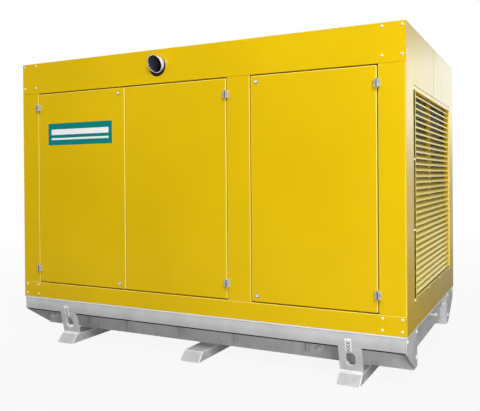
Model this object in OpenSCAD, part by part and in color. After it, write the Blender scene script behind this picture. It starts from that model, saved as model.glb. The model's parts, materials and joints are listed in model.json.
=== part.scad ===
// Canopied diesel generating set on a sled frame.
// The origin is on the ground under the middle of the canopy, +X runs toward
// the radiator end, -Y faces the three hinged service doors and +Z is up.

/* [Canopy] */
// Length of the canopy
canopy_l = 2920; // [2600:10:3400]
// Width of the canopy
canopy_w = 1640; // [1400:10:1900]
// Height of the canopy, from its underside to the roof
canopy_h = 1750; // [1500:10:2000]
// Depth of the top beams, sills and pillars
wall_t = 60; // [50:1:80]
// Height of the top beams
top_beam_h = 227; // [190:1:260]
// Height of the sills under the doors
sill_h = 113; // [90:1:150]
// Width of a corner post along the canopy
post_w = 159.5; // [140:0.5:200]
// Depth of a corner post across the canopy
post_d = 140; // [110:1:145]
// Width of the pillar between the second and third doors
pillar_w = 163; // [140:1:200]
// Thickness of the roof sheet
roof_t = 12; // [6:1:20]

/* [Doors] */
// Thickness of a door
door_t = 40; // [30:1:48]
// Gap all round a door
door_gap = 7; // [6:0.5:10]
// Distance of each hinge centre from the door's top or bottom edge
hinge_inset = 102; // [60:1:200]
// Distance of each latch centre from the door's top or bottom edge
latch_inset_z = 38; // [30:1:60]
// Distance of the latches from the free edge of the first door
latch_inset_1 = 50; // [30:1:80]
// Distance of the latches from the free edge of the third door
latch_inset_3 = 37; // [30:1:80]
// Diameter of a latch
latch_d = 28; // [20:1:40]
// Height of a latch above the door face
latch_t = 5; // [3:0.5:8]

/* [Hinges] */
// Width of a closed hinge over both leaves
hinge_w = 42; // [40:1:60]
// Height of a hinge
hinge_h = 54; // [45:1:80]
// Depth of a hinge in front of the face
hinge_d = 16; // [14:1:18]
// Width of each leaf block
leaf_w = 10; // [8:0.5:11]
// Radius of the knuckles
knuckle_r = 9; // [7:0.5:9]
// Radius of the hinge pin
pin_r = 3; // [2:0.5:5]
// Clearance between the pin and the moving knuckle
pin_clear = 0.05; // [0.03:0.01:0.1]
// Gap above and below the moving knuckle
knuckle_gap = 0.5; // [0.3:0.1:1]
// Clearance between the knuckles and the face
face_clear = 1; // [0.5:0.5:2]

/* [Canopy ends] */
// Thickness of the sheet that closes each end
sheet_t = 4; // [2:0.5:8]
// Inset of the louvre cut-out from the canopy sides
louvre_y = 185; // [170:1:240]
// Bottom of the louvre cut-out above the canopy underside
louvre_z = 157; // [140:1:200]
// Drop of the louvre cut-out below the canopy top
louvre_drop = 330; // [280:1:380]
// Gap between the sheet and the louvre frame
louvre_gap = 3; // [1:0.5:5]
// Width of the louvre frame's members
louvre_rim = 28; // [20:1:40]
// Depth of the louvre frame
louvre_d = 36; // [32:1:55]
// Reach of the louvre frame's flange behind the sheet
flange_w = 18; // [10:1:25]
// Thickness of the louvre frame's flange
flange_t = 3; // [2:0.5:5]
// Number of blades
blade_count = 33; // [20:1:36]
// Depth of a blade from front to back
blade_d = 26; // [20:1:30]
// Thickness of a blade
blade_t = 2.5; // [2:0.5:4]
// Height of a blade's upright front lip
blade_lip = 8; // [5:0.5:12]
// Fall of a blade toward the outside
blade_fall = 20; // [12:1:22]
// Setback of the blades from the outside face
blade_setback = 2; // [1:0.5:4]
// Width of the middle post behind the blades
mullion_w = 48; // [25:1:60]
// Depth of the middle post behind the blades
mullion_d = 20; // [10:1:40]
// Width and depth of the seam above the louvre
seam_w = 3; // [1:0.5:3.5]

/* [Sled frame] */
// Height of the canopy underside above the ground
skid_h = 310; // [260:5:400]
// Thickness of the deck plate
deck_t = 10; // [6:1:16]
// How far the deck edge stands proud of the rails
deck_lip = 3; // [1:1:8]
// Height of the side rails below the deck
rail_h = 85; // [70:1:110]
// Height of the rails' upright upper band
rail_band = 45; // [30:1:60]
// Width of the side rails
rail_w = 60; // [50:1:80]
// Lean of the rails' lower band and of the lugs
lean = 13; // [8:0.5:18]
// Inset of the main beams from the canopy sides
beam_inset = 219; // [180:1:260]
// Width of the main beams
beam_w = 60; // [50:1:80]
// Setback of the end crossbeams from the canopy ends
cross_setback = 58; // [50:1:100]
// Depth of the end crossbeams
cross_d = 60; // [50:1:80]
// Height of the end crossbeams
cross_h = 190; // [150:1:220]
// Setback of the end plates from the canopy ends
end_setback = 6; // [3:1:12]
// Thickness of the end plates and rail ribs
plate_t = 8; // [6:1:12]
// Clearance of the end plates above the feet
plate_rise = 10; // [5:1:20]
// Distances of the rail ribs from the left end
rib_at = [480, 833, 1294, 1725, 2244]; // [400:1:2300]
// Clearance of the rail ribs above the feet
rib_rise = 40; // [20:1:60]
// Depth of the rail ribs on the main beam, below the rail
rib_d = 45; // [30:1:80]
// Reach of the drain rod from the right crossbeam
drain_reach = 58; // [40:1:80]
// Radius of the drain rod
drain_r = 7.5; // [5:0.5:12]
// Distance of the drain rod from the middle of the crossbeam
drain_y = 85; // [0:1:200]
// Drop of the drain rod below the deck top
drain_drop = 74; // [40:1:120]

/* [Feet and lugs] */
// Height of the feet
foot_h = 60; // [50:1:80]
// Width of the feet
foot_w = 142; // [120:1:180]
// Distance of the left foot's centre from the left end
foot_left = 418; // [350:1:500]
// Distance of the right foot's centre from the right end
foot_right = 340; // [300:1:500]
// Inset of a foot's nose at the top
nose_in = 33; // [10:1:45]
// Reach of a foot's nose past the side at the bottom
nose_out = 22; // [0:1:40]
// Thickness of the lifting lugs
lug_t = 20; // [15:1:30]
// Width of a lug hole
lug_hole_w = 62; // [50:1:75]
// Height of a lug hole
lug_hole_h = 80; // [70:1:95]
// Drop of the lug holes below the deck top
lug_hole_drop = 168; // [160:1:180]

/* [Exhaust] */
// Distance of the exhaust from the left end
exhaust_x = 1252; // [1000:1:1400]
// Drop of the exhaust below the canopy top
exhaust_drop = 104; // [90:1:115]
// Outer radius of the exhaust pipe
pipe_r = 56; // [45:1:60]
// Wall of the exhaust pipe
pipe_t = 3; // [2:0.5:5]
// Gap round the pipe where it passes the top beam
pipe_gap = 15; // [8:1:20]
// Reach of the pipe's top edge past the face
pipe_top_out = 62; // [40:1:90]
// Reach of the pipe's bottom edge past the face
pipe_low_out = 12; // [5:1:35]
// Length of the pipe behind the face
pipe_in = 190; // [150:1:230]
// Radius of the silencer
silencer_r = 100; // [80:1:110]
// Length of the silencer
silencer_l = 900; // [700:10:1100]
// Reach of the silencer to the left of the pipe
silencer_left = 150; // [120:5:300]
// Gap between the silencer and the roof
silencer_drop = 14; // [10:1:30]
// Thickness of the silencer's inlet flange
inlet_t = 14; // [8:1:20]
// Gap between the inlet flange and the silencer
inlet_gap = 10; // [5:1:30]
// Width of the straps that hang the silencer
strap_w = 40; // [30:1:60]

/* [Machinery] */
// Length of the engine block
engine_l = 960; // [800:10:1000]
// Width of the engine block
engine_w = 560; // [450:10:700]
// Height of the engine over the deck
engine_h = 1060; // [900:10:1150]
// Length of the alternator
alternator_l = 620; // [500:10:650]
// Radius of the alternator
alternator_r = 270; // [220:5:300]
// Height of the shaft line above the deck
shaft_z = 480; // [400:5:520]
// Thickness of the radiator
radiator_t = 110; // [80:5:150]
// Distance of the radiator from the canopy sides
radiator_side = 280; // [240:10:360]
// Height of the radiator
radiator_h = 1290; // [1000:10:1320]
// Distance of the radiator from the end louvre
radiator_gap = 110; // [60:5:200]
// Thickness of the mounting feet and machine rails
mount_t = 80; // [60:5:120]

/* [Hidden] */
$fn = 64;
SKIN = "#E0B400";
STEEL = "#B9BDC1";
ZINC = "#D5D8DC";
IRON = "#5A6066";

x_r = canopy_l / 2;
x_l = -x_r;
y_b = canopy_w / 2;
y_f = -y_b;
z_deck = skid_h;
z_top = skid_h + canopy_h;
z_beam = z_top - top_beam_h;
z_sill = z_deck + sill_h;

door_w = (canopy_l - 2 * post_w - pillar_w - 5 * door_gap) / 3;
door_h = z_beam - z_sill - 2 * door_gap;
door_z = z_sill + door_gap;
door_1_x = x_l + post_w + door_gap;
door_2_x = door_1_x + door_w + door_gap;
pillar_x = door_2_x + door_w + door_gap;
door_3_x = pillar_x + pillar_w + door_gap;
axis_1_x = door_1_x - door_gap / 2;
axis_2_x = pillar_x - door_gap / 2;
axis_3_x = x_r - post_w - door_gap / 2;
axis_out = knuckle_r + face_clear;
hinge_z = [door_z + hinge_inset, door_z + door_h - hinge_inset];
latch_z = [door_z + latch_inset_z, door_z + door_h - latch_inset_z];

z_under = z_deck - deck_t;
z_rail = z_under - rail_h;
z_bend = z_under - rail_band;
rail_face = deck_lip;
function lean_in(z) = rail_face + (z_bend - z) * tan(lean);

foot_x = [x_l + foot_left,
          (foot_left - foot_right) / 2,
          x_r - foot_right];

x_in = x_r - sheet_t;
cut_w = canopy_w - 2 * louvre_y;
cut_z = z_deck + louvre_z;
cut_h = canopy_h - louvre_z - louvre_drop;
frame_w = cut_w - 2 * louvre_gap;
frame_z = cut_z + louvre_gap;
frame_h = cut_h - 2 * louvre_gap;
vent_w = frame_w - 2 * louvre_rim;
vent_z = frame_z + louvre_rim;
vent_h = frame_h - 2 * louvre_rim;

pipe_x = x_l + exhaust_x;
pipe_z = z_top - exhaust_drop;
silencer_y = y_f + pipe_in + inlet_t + silencer_r + inlet_gap;
silencer_z = z_top - roof_t - silencer_r - silencer_drop;

radiator_x = x_r - louvre_d - radiator_gap - radiator_t;
engine_x = radiator_x - 180 - engine_l;
alternator_x = engine_x - alternator_l;

// Draws its children again on the rear side.
module rear() { mirror([0, 1, 0]) children(); }

// Draws its children again at the left end.
module left() { mirror([1, 0, 0]) children(); }

// A straight bar along X whose outline is given as [y, z] points.
module bar_x(x, length, points) {
    translate([x, 0, 0])
        rotate([90, 0, 90])
            linear_extrude(length) polygon(points);
}

// A cylinder along Y from y to y + length.
module rod_y(x, y, z, r, length) {
    translate([x, y, z]) rotate([-90, 0, 0]) cylinder(r = r, h = length);
}

// Side rail: upright band above, leaning band below.
module rail() {
    color(STEEL)
        bar_x(x_l + end_setback + plate_t,
              canopy_l - 2 * (end_setback + plate_t),
              [[y_f + rail_face, z_under], [y_f + rail_face, z_bend],
               [y_f + lean_in(z_rail), z_rail], [y_f + rail_w, z_rail],
               [y_f + rail_w, z_under]]);
}

// Deep longitudinal beam that stands on the feet.
module main_beam() {
    color(STEEL)
        translate([x_l + end_setback + plate_t, y_f + beam_inset, foot_h])
            cube([canopy_l - 2 * (end_setback + plate_t), beam_w, z_under - foot_h]);
}

// Beam that closes the frame between the main beams at one end.
module crossbeam() {
    cross_w = canopy_w - 2 * (beam_inset + beam_w);
    color(STEEL)
        translate([x_r - cross_setback - cross_d, -cross_w / 2, z_under - cross_h])
            cube([cross_d, cross_w, cross_h]);
}

// Outline of the gusset that joins a rail to its main beam.
function gusset(y_in, y_out) =
    [[y_f + y_in, z_under], [y_f + y_in, z_rail],
     [y_f + beam_inset, foot_h + plate_rise], [y_f + y_out, foot_h + plate_rise],
     [y_f + y_out, z_under]];

// One plate that caps a rail and a main beam at the right end.
module end_plate() {
    color(STEEL)
        bar_x(x_r - end_setback - plate_t, plate_t,
              gusset(rail_face, beam_inset + beam_w));
}

// Ribs down the main beam that reach out to the rail under the deck.
module rail_ribs() {
    y_rib = y_f + beam_inset - rib_d;
    for (x = rib_at)
        bar_x(x_l + x, plate_t,
              [[y_f + rail_w, z_under], [y_f + rail_w, z_rail],
               [y_rib, z_rail - plate_t], [y_rib, foot_h + rib_rise],
               [y_f + beam_inset, foot_h + rib_rise], [y_f + beam_inset, z_under]]);
}

module rail_brackets() {
    color(STEEL) {
        rail_ribs();
        rear() rail_ribs();
    }
}

// Transverse foot with slanted noses.
module foot(x) {
    color(STEEL)
        bar_x(x - foot_w / 2, foot_w,
              [[y_f - nose_out, 0], [-y_f + nose_out, 0],
               [-y_f - nose_in, foot_h], [y_f + nose_in, foot_h]]);
}

// Leaning lifting plate with an oblong sling hole.
module lug(x) {
    hole_z = z_deck - lug_hole_drop;
    hole_r = lug_hole_w / 2;
    spread = lug_hole_h / 2 - hole_r;
    color(STEEL)
        difference() {
            bar_x(x - foot_w / 2, foot_w,
                  [[y_f + lean_in(z_rail), z_rail],
                   [y_f + lean_in(foot_h), foot_h],
                   [y_f + lean_in(foot_h) + lug_t, foot_h],
                   [y_f + lean_in(z_rail) + lug_t, z_rail]]);
            for (side = [-1, 1])
                rod_y(x, y_f, hole_z + side * spread, hole_r, 100);
            translate([x - hole_r, y_f, hole_z - spread])
                cube([lug_hole_w, 100, 2 * spread]);
        }
}

module deck() {
    color(STEEL)
        translate([x_l, y_f, z_under])
            cube([canopy_l, canopy_w, deck_t]);
}

// Drain rod and plug on the right crossbeam.
module drain_plug() {
    plug_r = drain_r + 4;
    plug_t = drain_reach / 4;
    color(ZINC)
        translate([x_r - cross_setback, drain_y, z_deck - drain_drop])
            rotate([0, 90, 0]) {
                cylinder(r = drain_r, h = drain_reach);
                translate([0, 0, drain_reach - plug_t]) cylinder(r = plug_r, h = plug_t);
            }
}

// Box post at the front right corner.
module corner_post() {
    color(SKIN)
        translate([x_r - post_w, y_f, z_sill])
            cube([post_w - sheet_t, post_d, z_beam - z_sill]);
}

module pillar() {
    color(SKIN)
        translate([pillar_x, y_f, z_sill])
            cube([pillar_w, wall_t, z_beam - z_sill]);
}

module top_beam() {
    color(SKIN)
        translate([-x_in, y_f, z_beam])
            cube([2 * x_in, wall_t, top_beam_h]);
}

// The front top beam lets the exhaust pipe through.
module front_top_beam() {
    color(SKIN)
        difference() {
            top_beam();
            rod_y(pipe_x, y_f - 1, pipe_z, pipe_r + pipe_gap, wall_t + 2);
        }
}

module sill() {
    color(SKIN)
        translate([-x_in, y_f, z_deck])
            cube([2 * x_in, wall_t, sill_h]);
}

module roof() {
    color(SKIN)
        translate([-x_in, y_f + wall_t, z_top - roof_t])
            cube([2 * x_in, canopy_w - 2 * wall_t, roof_t]);
}

// Block centred across the canopy, from x0 to x1 along it.
module across(x0, x1, width, z, height) {
    translate([x0, -width / 2, z]) cube([x1 - x0, width, height]);
}

// Sheet over the right end, cut out for the louvre and seamed above it.
module end_sheet() {
    color(SKIN)
        difference() {
            across(x_in, x_r, canopy_w, z_deck, canopy_h);
            across(x_in - 1, x_r + 1, cut_w, cut_z, cut_h);
            across(x_r - seam_w / 2, x_r + 1, seam_w, cut_z, canopy_h);
        }
}

// Frame of the right louvre: a flange behind the sheet, a ring and a middle post.
module louvre_frame() {
    back = x_r - blade_setback - blade_d;
    color(SKIN) {
        difference() {
            union() {
                across(x_r - louvre_d, x_r - louvre_gap / 3, frame_w, frame_z, frame_h);
                across(x_in - flange_t, x_in, cut_w + 2 * flange_w,
                       cut_z - flange_w, cut_h + 2 * flange_w);
            }
            across(x_r - louvre_d - 1, x_r + 1, vent_w, vent_z, vent_h);
        }
        across(back - mullion_d, back, mullion_w, vent_z, vent_h);
    }
}

// Blades that fall toward the outside and end in an upright lip.
module louvre_blades() {
    pitch = vent_h / blade_count;
    color(SKIN)
        for (i = [0 : blade_count - 1])
            translate([x_r - blade_setback, vent_w / 2, vent_z + (i + 0.1) * pitch])
                rotate([90, 0, 0])
                    linear_extrude(vent_w)
                        polygon([[0, 0], [0, blade_lip],
                                 [-blade_d, blade_lip + blade_fall],
                                 [-blade_d, blade_lip + blade_fall - blade_t],
                                 [-blade_t, blade_lip - blade_t], [-blade_t, 0]]);
}

module door(x) {
    color(SKIN)
        translate([x, y_f, door_z])
            cube([door_w, door_t, door_h]);
}

// Places a hinge at both heights; side is 1 where the door lies toward +X.
module at_hinges(x, side) {
    for (z = hinge_z)
        translate([x, y_f, z])
            mirror([side < 0 ? 1 : 0, 0, 0]) children();
}

// One knuckle with the web that ties it to its leaf, z above the hinge centre.
module knuckle(z, height) {
    web_w = hinge_w / 2 - leaf_w + 1;
    translate([0, -axis_out, z]) cylinder(r = knuckle_r, h = height);
    translate([-web_w, -hinge_d, z])
        cube([web_w, hinge_d - 2 * face_clear, height]);
}

// Leaf on the post, with the outer knuckles and the pin.
module fixed_leaf() {
    third = hinge_h / 3;
    translate([-hinge_w / 2, -hinge_d, -hinge_h / 2]) cube([leaf_w, hinge_d, hinge_h]);
    knuckle(-hinge_h / 2, third);
    knuckle(hinge_h / 2 - third, third);
    translate([0, -axis_out, -hinge_h / 2]) cylinder(r = pin_r, h = hinge_h);
}

// Leaf on the door, with the middle knuckle bored for the pin.
module moving_leaf() {
    third = hinge_h / 3;
    translate([hinge_w / 2 - leaf_w, -hinge_d, -hinge_h / 2])
        cube([leaf_w, hinge_d, hinge_h]);
    difference() {
        mirror([1, 0, 0]) knuckle(knuckle_gap - third / 2, third - 2 * knuckle_gap);
        translate([0, -axis_out, -hinge_h / 2])
            cylinder(r = pin_r + pin_clear, h = hinge_h);
    }
}

module door_hinges(x, side) { color(ZINC) at_hinges(x, side) moving_leaf(); }

module post_hinges() {
    color(ZINC) {
        at_hinges(axis_1_x, 1) fixed_leaf();
        at_hinges(axis_2_x, -1) fixed_leaf();
        at_hinges(axis_3_x, -1) fixed_leaf();
    }
}

module latches(x) {
    color(ZINC)
        for (z = latch_z)
            rod_y(x, y_f - latch_t, z, latch_d / 2, latch_t);
}

module rear_doors() {
    rear() for (x = [door_1_x, door_2_x, door_3_x]) door(x);
}

module rear_hinges() {
    rear() {
        post_hinges();
        door_hinges(axis_1_x, 1);
        door_hinges(axis_2_x, -1);
        door_hinges(axis_3_x, -1);
    }
}

latch_1_x = door_1_x + door_w - latch_inset_1;
latch_3_x = door_3_x + latch_inset_3;

module rear_latches() {
    rear() {
        latches(latch_1_x);
        latches(latch_3_x);
    }
}

// Straight pipe whose mouth is mitred to face down.
module exhaust_pipe() {
    slope = atan((pipe_top_out - pipe_low_out) / (2 * pipe_r));
    middle = (pipe_top_out + pipe_low_out) / 2;
    color(ZINC)
        difference() {
            rod_y(pipe_x, y_f - pipe_top_out - 10, pipe_z, pipe_r,
                  pipe_in + pipe_top_out + 10);
            rod_y(pipe_x, y_f - pipe_top_out - 20, pipe_z, pipe_r - pipe_t,
                  pipe_in + pipe_top_out + 40);
            translate([pipe_x, y_f - middle, pipe_z])
                rotate([slope, 0, 0])
                    translate([-2 * pipe_r, -4 * pipe_r, -4 * pipe_r])
                        cube([4 * pipe_r, 4 * pipe_r, 8 * pipe_r]);
        }
}

// Silencer hung under the roof, with the flange that takes the pipe.
module silencer() {
    start = pipe_x - silencer_left;
    flange_r = pipe_r + pipe_gap;
    color(IRON) {
        translate([start, silencer_y, silencer_z])
            rotate([0, 90, 0]) cylinder(r = silencer_r, h = silencer_l);
        rod_y(pipe_x, y_f + pipe_in, pipe_z, flange_r, inlet_t);
        rod_y(pipe_x, y_f + pipe_in, pipe_z, pipe_r / 2, silencer_r);
        for (x = [start + silencer_l / 6, start + silencer_l * 5 / 6])
            translate([x - strap_w / 2, silencer_y - strap_w / 2, silencer_z])
                cube([strap_w, strap_w, z_top - roof_t - silencer_z]);
    }
}

module engine() {
    top = z_deck + engine_h;
    color(IRON) {
        translate([engine_x, -engine_w / 2, z_deck + mount_t])
            cube([engine_l, engine_w, engine_h * 0.62]);
        translate([engine_x + 80, -engine_w / 4, z_deck + mount_t])
            cube([engine_l - 160, engine_w / 2, engine_h - mount_t]);
        for (x = [engine_x + 60, engine_x + engine_l - 160])
            translate([x, -engine_w / 2 - 60, z_deck])
                cube([100, engine_w + 120, mount_t + 20]);
    }
}

module alternator() {
    color(IRON) {
        translate([alternator_x, 0, z_deck + shaft_z])
            rotate([0, 90, 0]) cylinder(r = alternator_r, h = alternator_l);
        translate([alternator_x + 120, -alternator_r, z_deck])
            cube([alternator_l - 240, 2 * alternator_r, shaft_z]);
    }
}

module radiator() {
    color(IRON)
        translate([radiator_x, y_f + radiator_side, z_deck])
            cube([radiator_t, canopy_w - 2 * radiator_side, radiator_h]);
}

rail();  // front_rail
rear() rail();  // rear_rail
main_beam();  // front_main_beam
rear() main_beam();  // rear_main_beam
left() crossbeam();  // left_crossbeam
crossbeam();  // right_crossbeam
left() end_plate();  // front_left_end_plate
left() rear() end_plate();  // rear_left_end_plate
end_plate();  // front_right_end_plate
rear() end_plate();  // rear_right_end_plate
rail_brackets();
foot(foot_x[0]);  // left_foot
foot(foot_x[1]);  // middle_foot
foot(foot_x[2]);  // right_foot
lug(foot_x[0]);  // front_left_lug
rear() lug(foot_x[0]);  // rear_left_lug
lug(foot_x[2]);  // front_right_lug
rear() lug(foot_x[2]);  // rear_right_lug
deck();
drain_plug();
left() corner_post();  // front_left_post
left() rear() corner_post();  // rear_left_post
corner_post();  // front_right_post
rear() corner_post();  // rear_right_post
pillar();  // front_pillar
rear() pillar();  // rear_pillar
front_top_beam();
rear() top_beam();  // rear_top_beam
sill();  // front_sill
rear() sill();  // rear_sill
roof();
left() end_sheet();  // left_end_sheet
end_sheet();  // right_end_sheet
left() louvre_frame();  // left_louvre_frame
louvre_frame();  // right_louvre_frame
left() louvre_blades();  // left_louvre_blades
louvre_blades();  // right_louvre_blades
door(door_1_x);  // door_1
door(door_2_x);  // door_2
door(door_3_x);  // door_3
door_hinges(axis_1_x, 1);  // door_1_hinges
door_hinges(axis_2_x, -1);  // door_2_hinges
door_hinges(axis_3_x, -1);  // door_3_hinges
post_hinges();
latches(latch_1_x);  // door_1_latches
latches(latch_3_x);  // door_3_latches
rear_doors();
rear_hinges();
rear_latches();
exhaust_pipe();
silencer();
engine();
alternator();
radiator();
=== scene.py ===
"""Dresses the canopied diesel generating set: paint, folds, bolts, seals and machinery."""

import json
import math
import random

import bmesh
import bpy
from bpy.props import FloatProperty, FloatVectorProperty, IntProperty, PointerProperty
from mathutils import Matrix, Vector


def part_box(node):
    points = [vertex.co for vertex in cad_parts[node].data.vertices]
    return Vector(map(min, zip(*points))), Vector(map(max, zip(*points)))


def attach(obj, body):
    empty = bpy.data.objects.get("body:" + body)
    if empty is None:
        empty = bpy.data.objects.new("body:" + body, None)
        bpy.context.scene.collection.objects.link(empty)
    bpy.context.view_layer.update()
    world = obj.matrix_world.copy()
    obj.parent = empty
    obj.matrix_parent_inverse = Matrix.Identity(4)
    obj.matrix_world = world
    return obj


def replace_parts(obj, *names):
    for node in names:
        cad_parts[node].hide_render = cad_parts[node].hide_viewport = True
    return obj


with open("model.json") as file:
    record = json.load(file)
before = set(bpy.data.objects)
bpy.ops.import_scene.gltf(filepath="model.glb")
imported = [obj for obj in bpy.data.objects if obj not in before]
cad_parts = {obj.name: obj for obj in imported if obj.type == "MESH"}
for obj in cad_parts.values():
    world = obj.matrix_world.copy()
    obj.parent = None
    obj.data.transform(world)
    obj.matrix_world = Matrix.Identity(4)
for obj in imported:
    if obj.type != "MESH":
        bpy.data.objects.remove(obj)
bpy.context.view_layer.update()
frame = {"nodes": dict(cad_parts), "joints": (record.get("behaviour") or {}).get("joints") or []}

bl_info = {
    "name": "Canopy Generating Set",
    "version": (1, 0, 0),
    "blender": (4, 5, 0),
    "location": "View3D > Sidebar > Generating Set",
    "description": "Builds the canopy, sled, exhaust and machinery of a generating set",
    "category": "Object",
}

BODY = "canopy_and_frame"
DOORS = ("door_1", "door_2", "door_3")
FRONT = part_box("front_top_beam")[0].y
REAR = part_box("rear_top_beam")[1].y
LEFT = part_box("left_end_sheet")[0].x
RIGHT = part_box("right_end_sheet")[1].x
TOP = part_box("roof")[1].z
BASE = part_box("deck")[1].z
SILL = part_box("front_sill")[1].z
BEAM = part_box("front_top_beam")[0].z
TURN = {"X": (0, math.pi / 2, 0), "Y": (-math.pi / 2, 0, 0), "Z": (0, 0, 0)}
KINDS = {"verts": "VERT", "edges": "EDGE", "faces": "FACE"}
RAIL_BEND = 0.045       # from the top of a side rail down to where its face leans in
HINGE_MIDDLE = 0.027    # from the end of a hinge block to the middle of its hinge
LEAF_END = 0.019        # from the pin, past which a vertex is the end of a hinge leaf
HINGE_HALF = 0.0176     # half the width of a finished hinge
HINGE_HEIGHT = 0.86     # share of the block's height that a finished hinge keeps
HINGE_FACE = 0.016      # how far the hinge leaves stand out from the canopy
RIPPLES = 36            # along one weld bead
MOUTH_SLANT = 0.050     # from the lower edge of the exhaust's mouth out to its upper edge
BLOCK_SIDE = -0.280     # front face of the engine's crankcase
HEAD_SIDE = -0.140      # front face of its cylinder heads
CYLINDERS = 6
CYLINDER_PITCH = 0.131  # along the engine


# ---------------------------------------------------------------- modelling

def only(piece):
    """Selects one piece and nothing else, in object mode."""
    if bpy.context.mode != "OBJECT":
        bpy.ops.object.mode_set(mode="OBJECT")
    bpy.ops.object.select_all(action="DESELECT")
    piece.select_set(True)
    bpy.context.view_layer.objects.active = piece


def named(name):
    """Names the primitive just added and puts its place into its mesh."""
    piece = bpy.context.active_object
    piece.name = piece.data.name = name
    bpy.ops.object.transform_apply(location=True, rotation=True, scale=True)
    return piece


def block(name, low, high):
    """A box between two corners."""
    low, high = Vector(low), Vector(high)
    bpy.ops.object.select_all(action="DESELECT")
    bpy.ops.mesh.primitive_cube_add(size=1, location=(low + high) / 2, scale=high - low)
    return named(name)


def rod(name, start, axis, radius, length, sides=32):
    """A cylinder that starts at a point and runs along an axis."""
    middle = Vector(start) + Vector([length / 2 if a == axis else 0 for a in "XYZ"])
    bpy.ops.object.select_all(action="DESELECT")
    bpy.ops.mesh.primitive_cylinder_add(
        vertices=sides, radius=radius, depth=abs(length), location=middle, rotation=TURN[axis]
    )
    return named(name)


def linked(name, mesh):
    """A new object in the scene that shows a mesh."""
    piece = bpy.data.objects.new(name, mesh)
    bpy.context.scene.collection.objects.link(piece)
    return piece


def pick(piece, kind, test):
    """Goes into edit mode and selects the verts, edges or faces that pass a test."""
    only(piece)
    bpy.ops.object.mode_set(mode="EDIT")
    bpy.ops.mesh.select_mode(type=KINDS[kind])
    bpy.ops.mesh.select_all(action="DESELECT")
    mesh = bmesh.from_edit_mesh(piece.data)
    mesh.normal_update()
    for part in getattr(mesh, kind):
        if test(part):
            part.select_set(True)
    mesh.select_flush_mode()
    bmesh.update_edit_mesh(piece.data)


def done():
    """Comes back from edit mode."""
    bpy.ops.object.mode_set(mode="OBJECT")


def span(sign, near, far):
    """The lower and the upper of two distances from the middle, on the side of the sign."""
    return sorted((sign * near, sign * far))


def everything(piece):
    """Goes into edit mode with the whole piece selected."""
    pick(piece, "verts", lambda v: True)


def inset_each(width, depth=0.0):
    """Insets each selected face on its own, and presses it in where depth is below 0."""
    bpy.ops.mesh.inset(thickness=width, depth=depth, use_individual=True)


def cut(piece, axis, places):
    """Cuts right through a piece at each place along an axis."""
    only(piece)
    bpy.ops.object.mode_set(mode="EDIT")
    along = Vector([float(a == axis) for a in "XYZ"])
    for place in places:
        bpy.ops.mesh.select_all(action="SELECT")
        bpy.ops.mesh.bisect(plane_co=along * place, plane_no=along)
    done()


def looks(axis, sign):
    """A test for faces that look along an axis."""
    return lambda face: face.normal["XYZ".index(axis)] * sign > 0.9


def applied(piece, kind, **settings):
    """Adds a modifier with its settings and applies it."""
    only(piece)
    modifier = piece.modifiers.new(kind.title(), kind)
    for key, value in settings.items():
        setattr(modifier, key, value)
    bpy.ops.object.modifier_apply(modifier=modifier.name)
    return piece


def soften(piece, width=0.002, segments=2):
    """Rounds the sharp edges and keeps the flat faces flat in the light."""
    applied(piece, "BEVEL", width=width, segments=segments, limit_method="ANGLE",
            angle_limit=math.radians(30), miter_outer="MITER_ARC")
    bpy.ops.object.shade_smooth_by_angle(angle=math.radians(40))
    return applied(piece, "WEIGHTED_NORMAL", keep_sharp=True)


def joined(name, pieces):
    """Joins pieces into one."""
    only(pieces[0])
    for piece in pieces:
        piece.select_set(True)
    if len(pieces) > 1:
        bpy.ops.object.join()
    piece = bpy.context.active_object
    piece.name = piece.data.name = name
    return piece


def repeated(name, pattern, places):
    """Copies a pattern to each place and joins the copies; the pattern itself goes."""
    copies = []
    for place in places:
        copies.append(linked(name, pattern.data.copy()))
        copies[-1].data.transform(place)
    bpy.data.objects.remove(pattern)
    return joined(name, copies)


def seat(point, outward):
    """Where a pattern that stands on +Z goes, to stand on a face instead."""
    turn = Vector((0, 0, 1)).rotation_difference(Vector(outward))
    return Matrix.Translation(point) @ turn.to_matrix().to_4x4()


def turned(name, profile, steps=32):
    """Spins a profile of (radius, height) points round the Z axis."""
    mesh = bpy.data.meshes.new(name)
    mesh.from_pydata(
        [(r, 0, z) for r, z in profile], [(i, i + 1) for i in range(len(profile) - 1)], []
    )
    piece = linked(name, mesh)
    everything(piece)
    bpy.ops.mesh.spin(steps=steps, angle=math.tau, center=(0, 0, 0), axis=(0, 0, 1))
    bpy.ops.mesh.select_all(action="SELECT")
    bpy.ops.mesh.remove_doubles(threshold=1e-6)
    bpy.ops.mesh.normals_make_consistent(inside=False)
    done()
    bpy.ops.object.shade_smooth_by_angle(angle=math.radians(35))
    return piece


def ring(name, low, high, width, axis="Y", soft=0.001):
    """A flat rectangular ring: a box with a hole bridged through it."""
    piece = block(name, low, high)
    pick(piece, "faces", lambda f: abs(f.normal["XYZ".index(axis)]) > 0.9)
    inset_each(width)
    bpy.ops.mesh.bridge_edge_loops()
    done()
    return soften(piece, soft)


def cad_copy(name, *nodes):
    """A welded copy of CAD nodes with whole flat faces, which then stands for them."""
    piece = joined(name, [linked(name, frame["nodes"][n].data.copy()) for n in nodes])
    piece.data.materials.clear()
    if piece.data.has_custom_normals:
        bpy.ops.mesh.customdata_custom_splitnormals_clear()
    everything(piece)
    bpy.ops.mesh.remove_doubles(threshold=1e-5)
    bpy.ops.mesh.select_all(action="SELECT")
    bpy.ops.mesh.dissolve_limited(angle_limit=math.radians(0.5))
    done()
    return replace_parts(piece, *nodes)


def given(piece, body, finish):
    """Puts a finished piece on its body, in the finish of that name."""
    piece.data.materials.clear()
    piece.data.materials.append(FINISHES[finish])
    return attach(piece, body)


# ---------------------------------------------------------------- finishes

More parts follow.
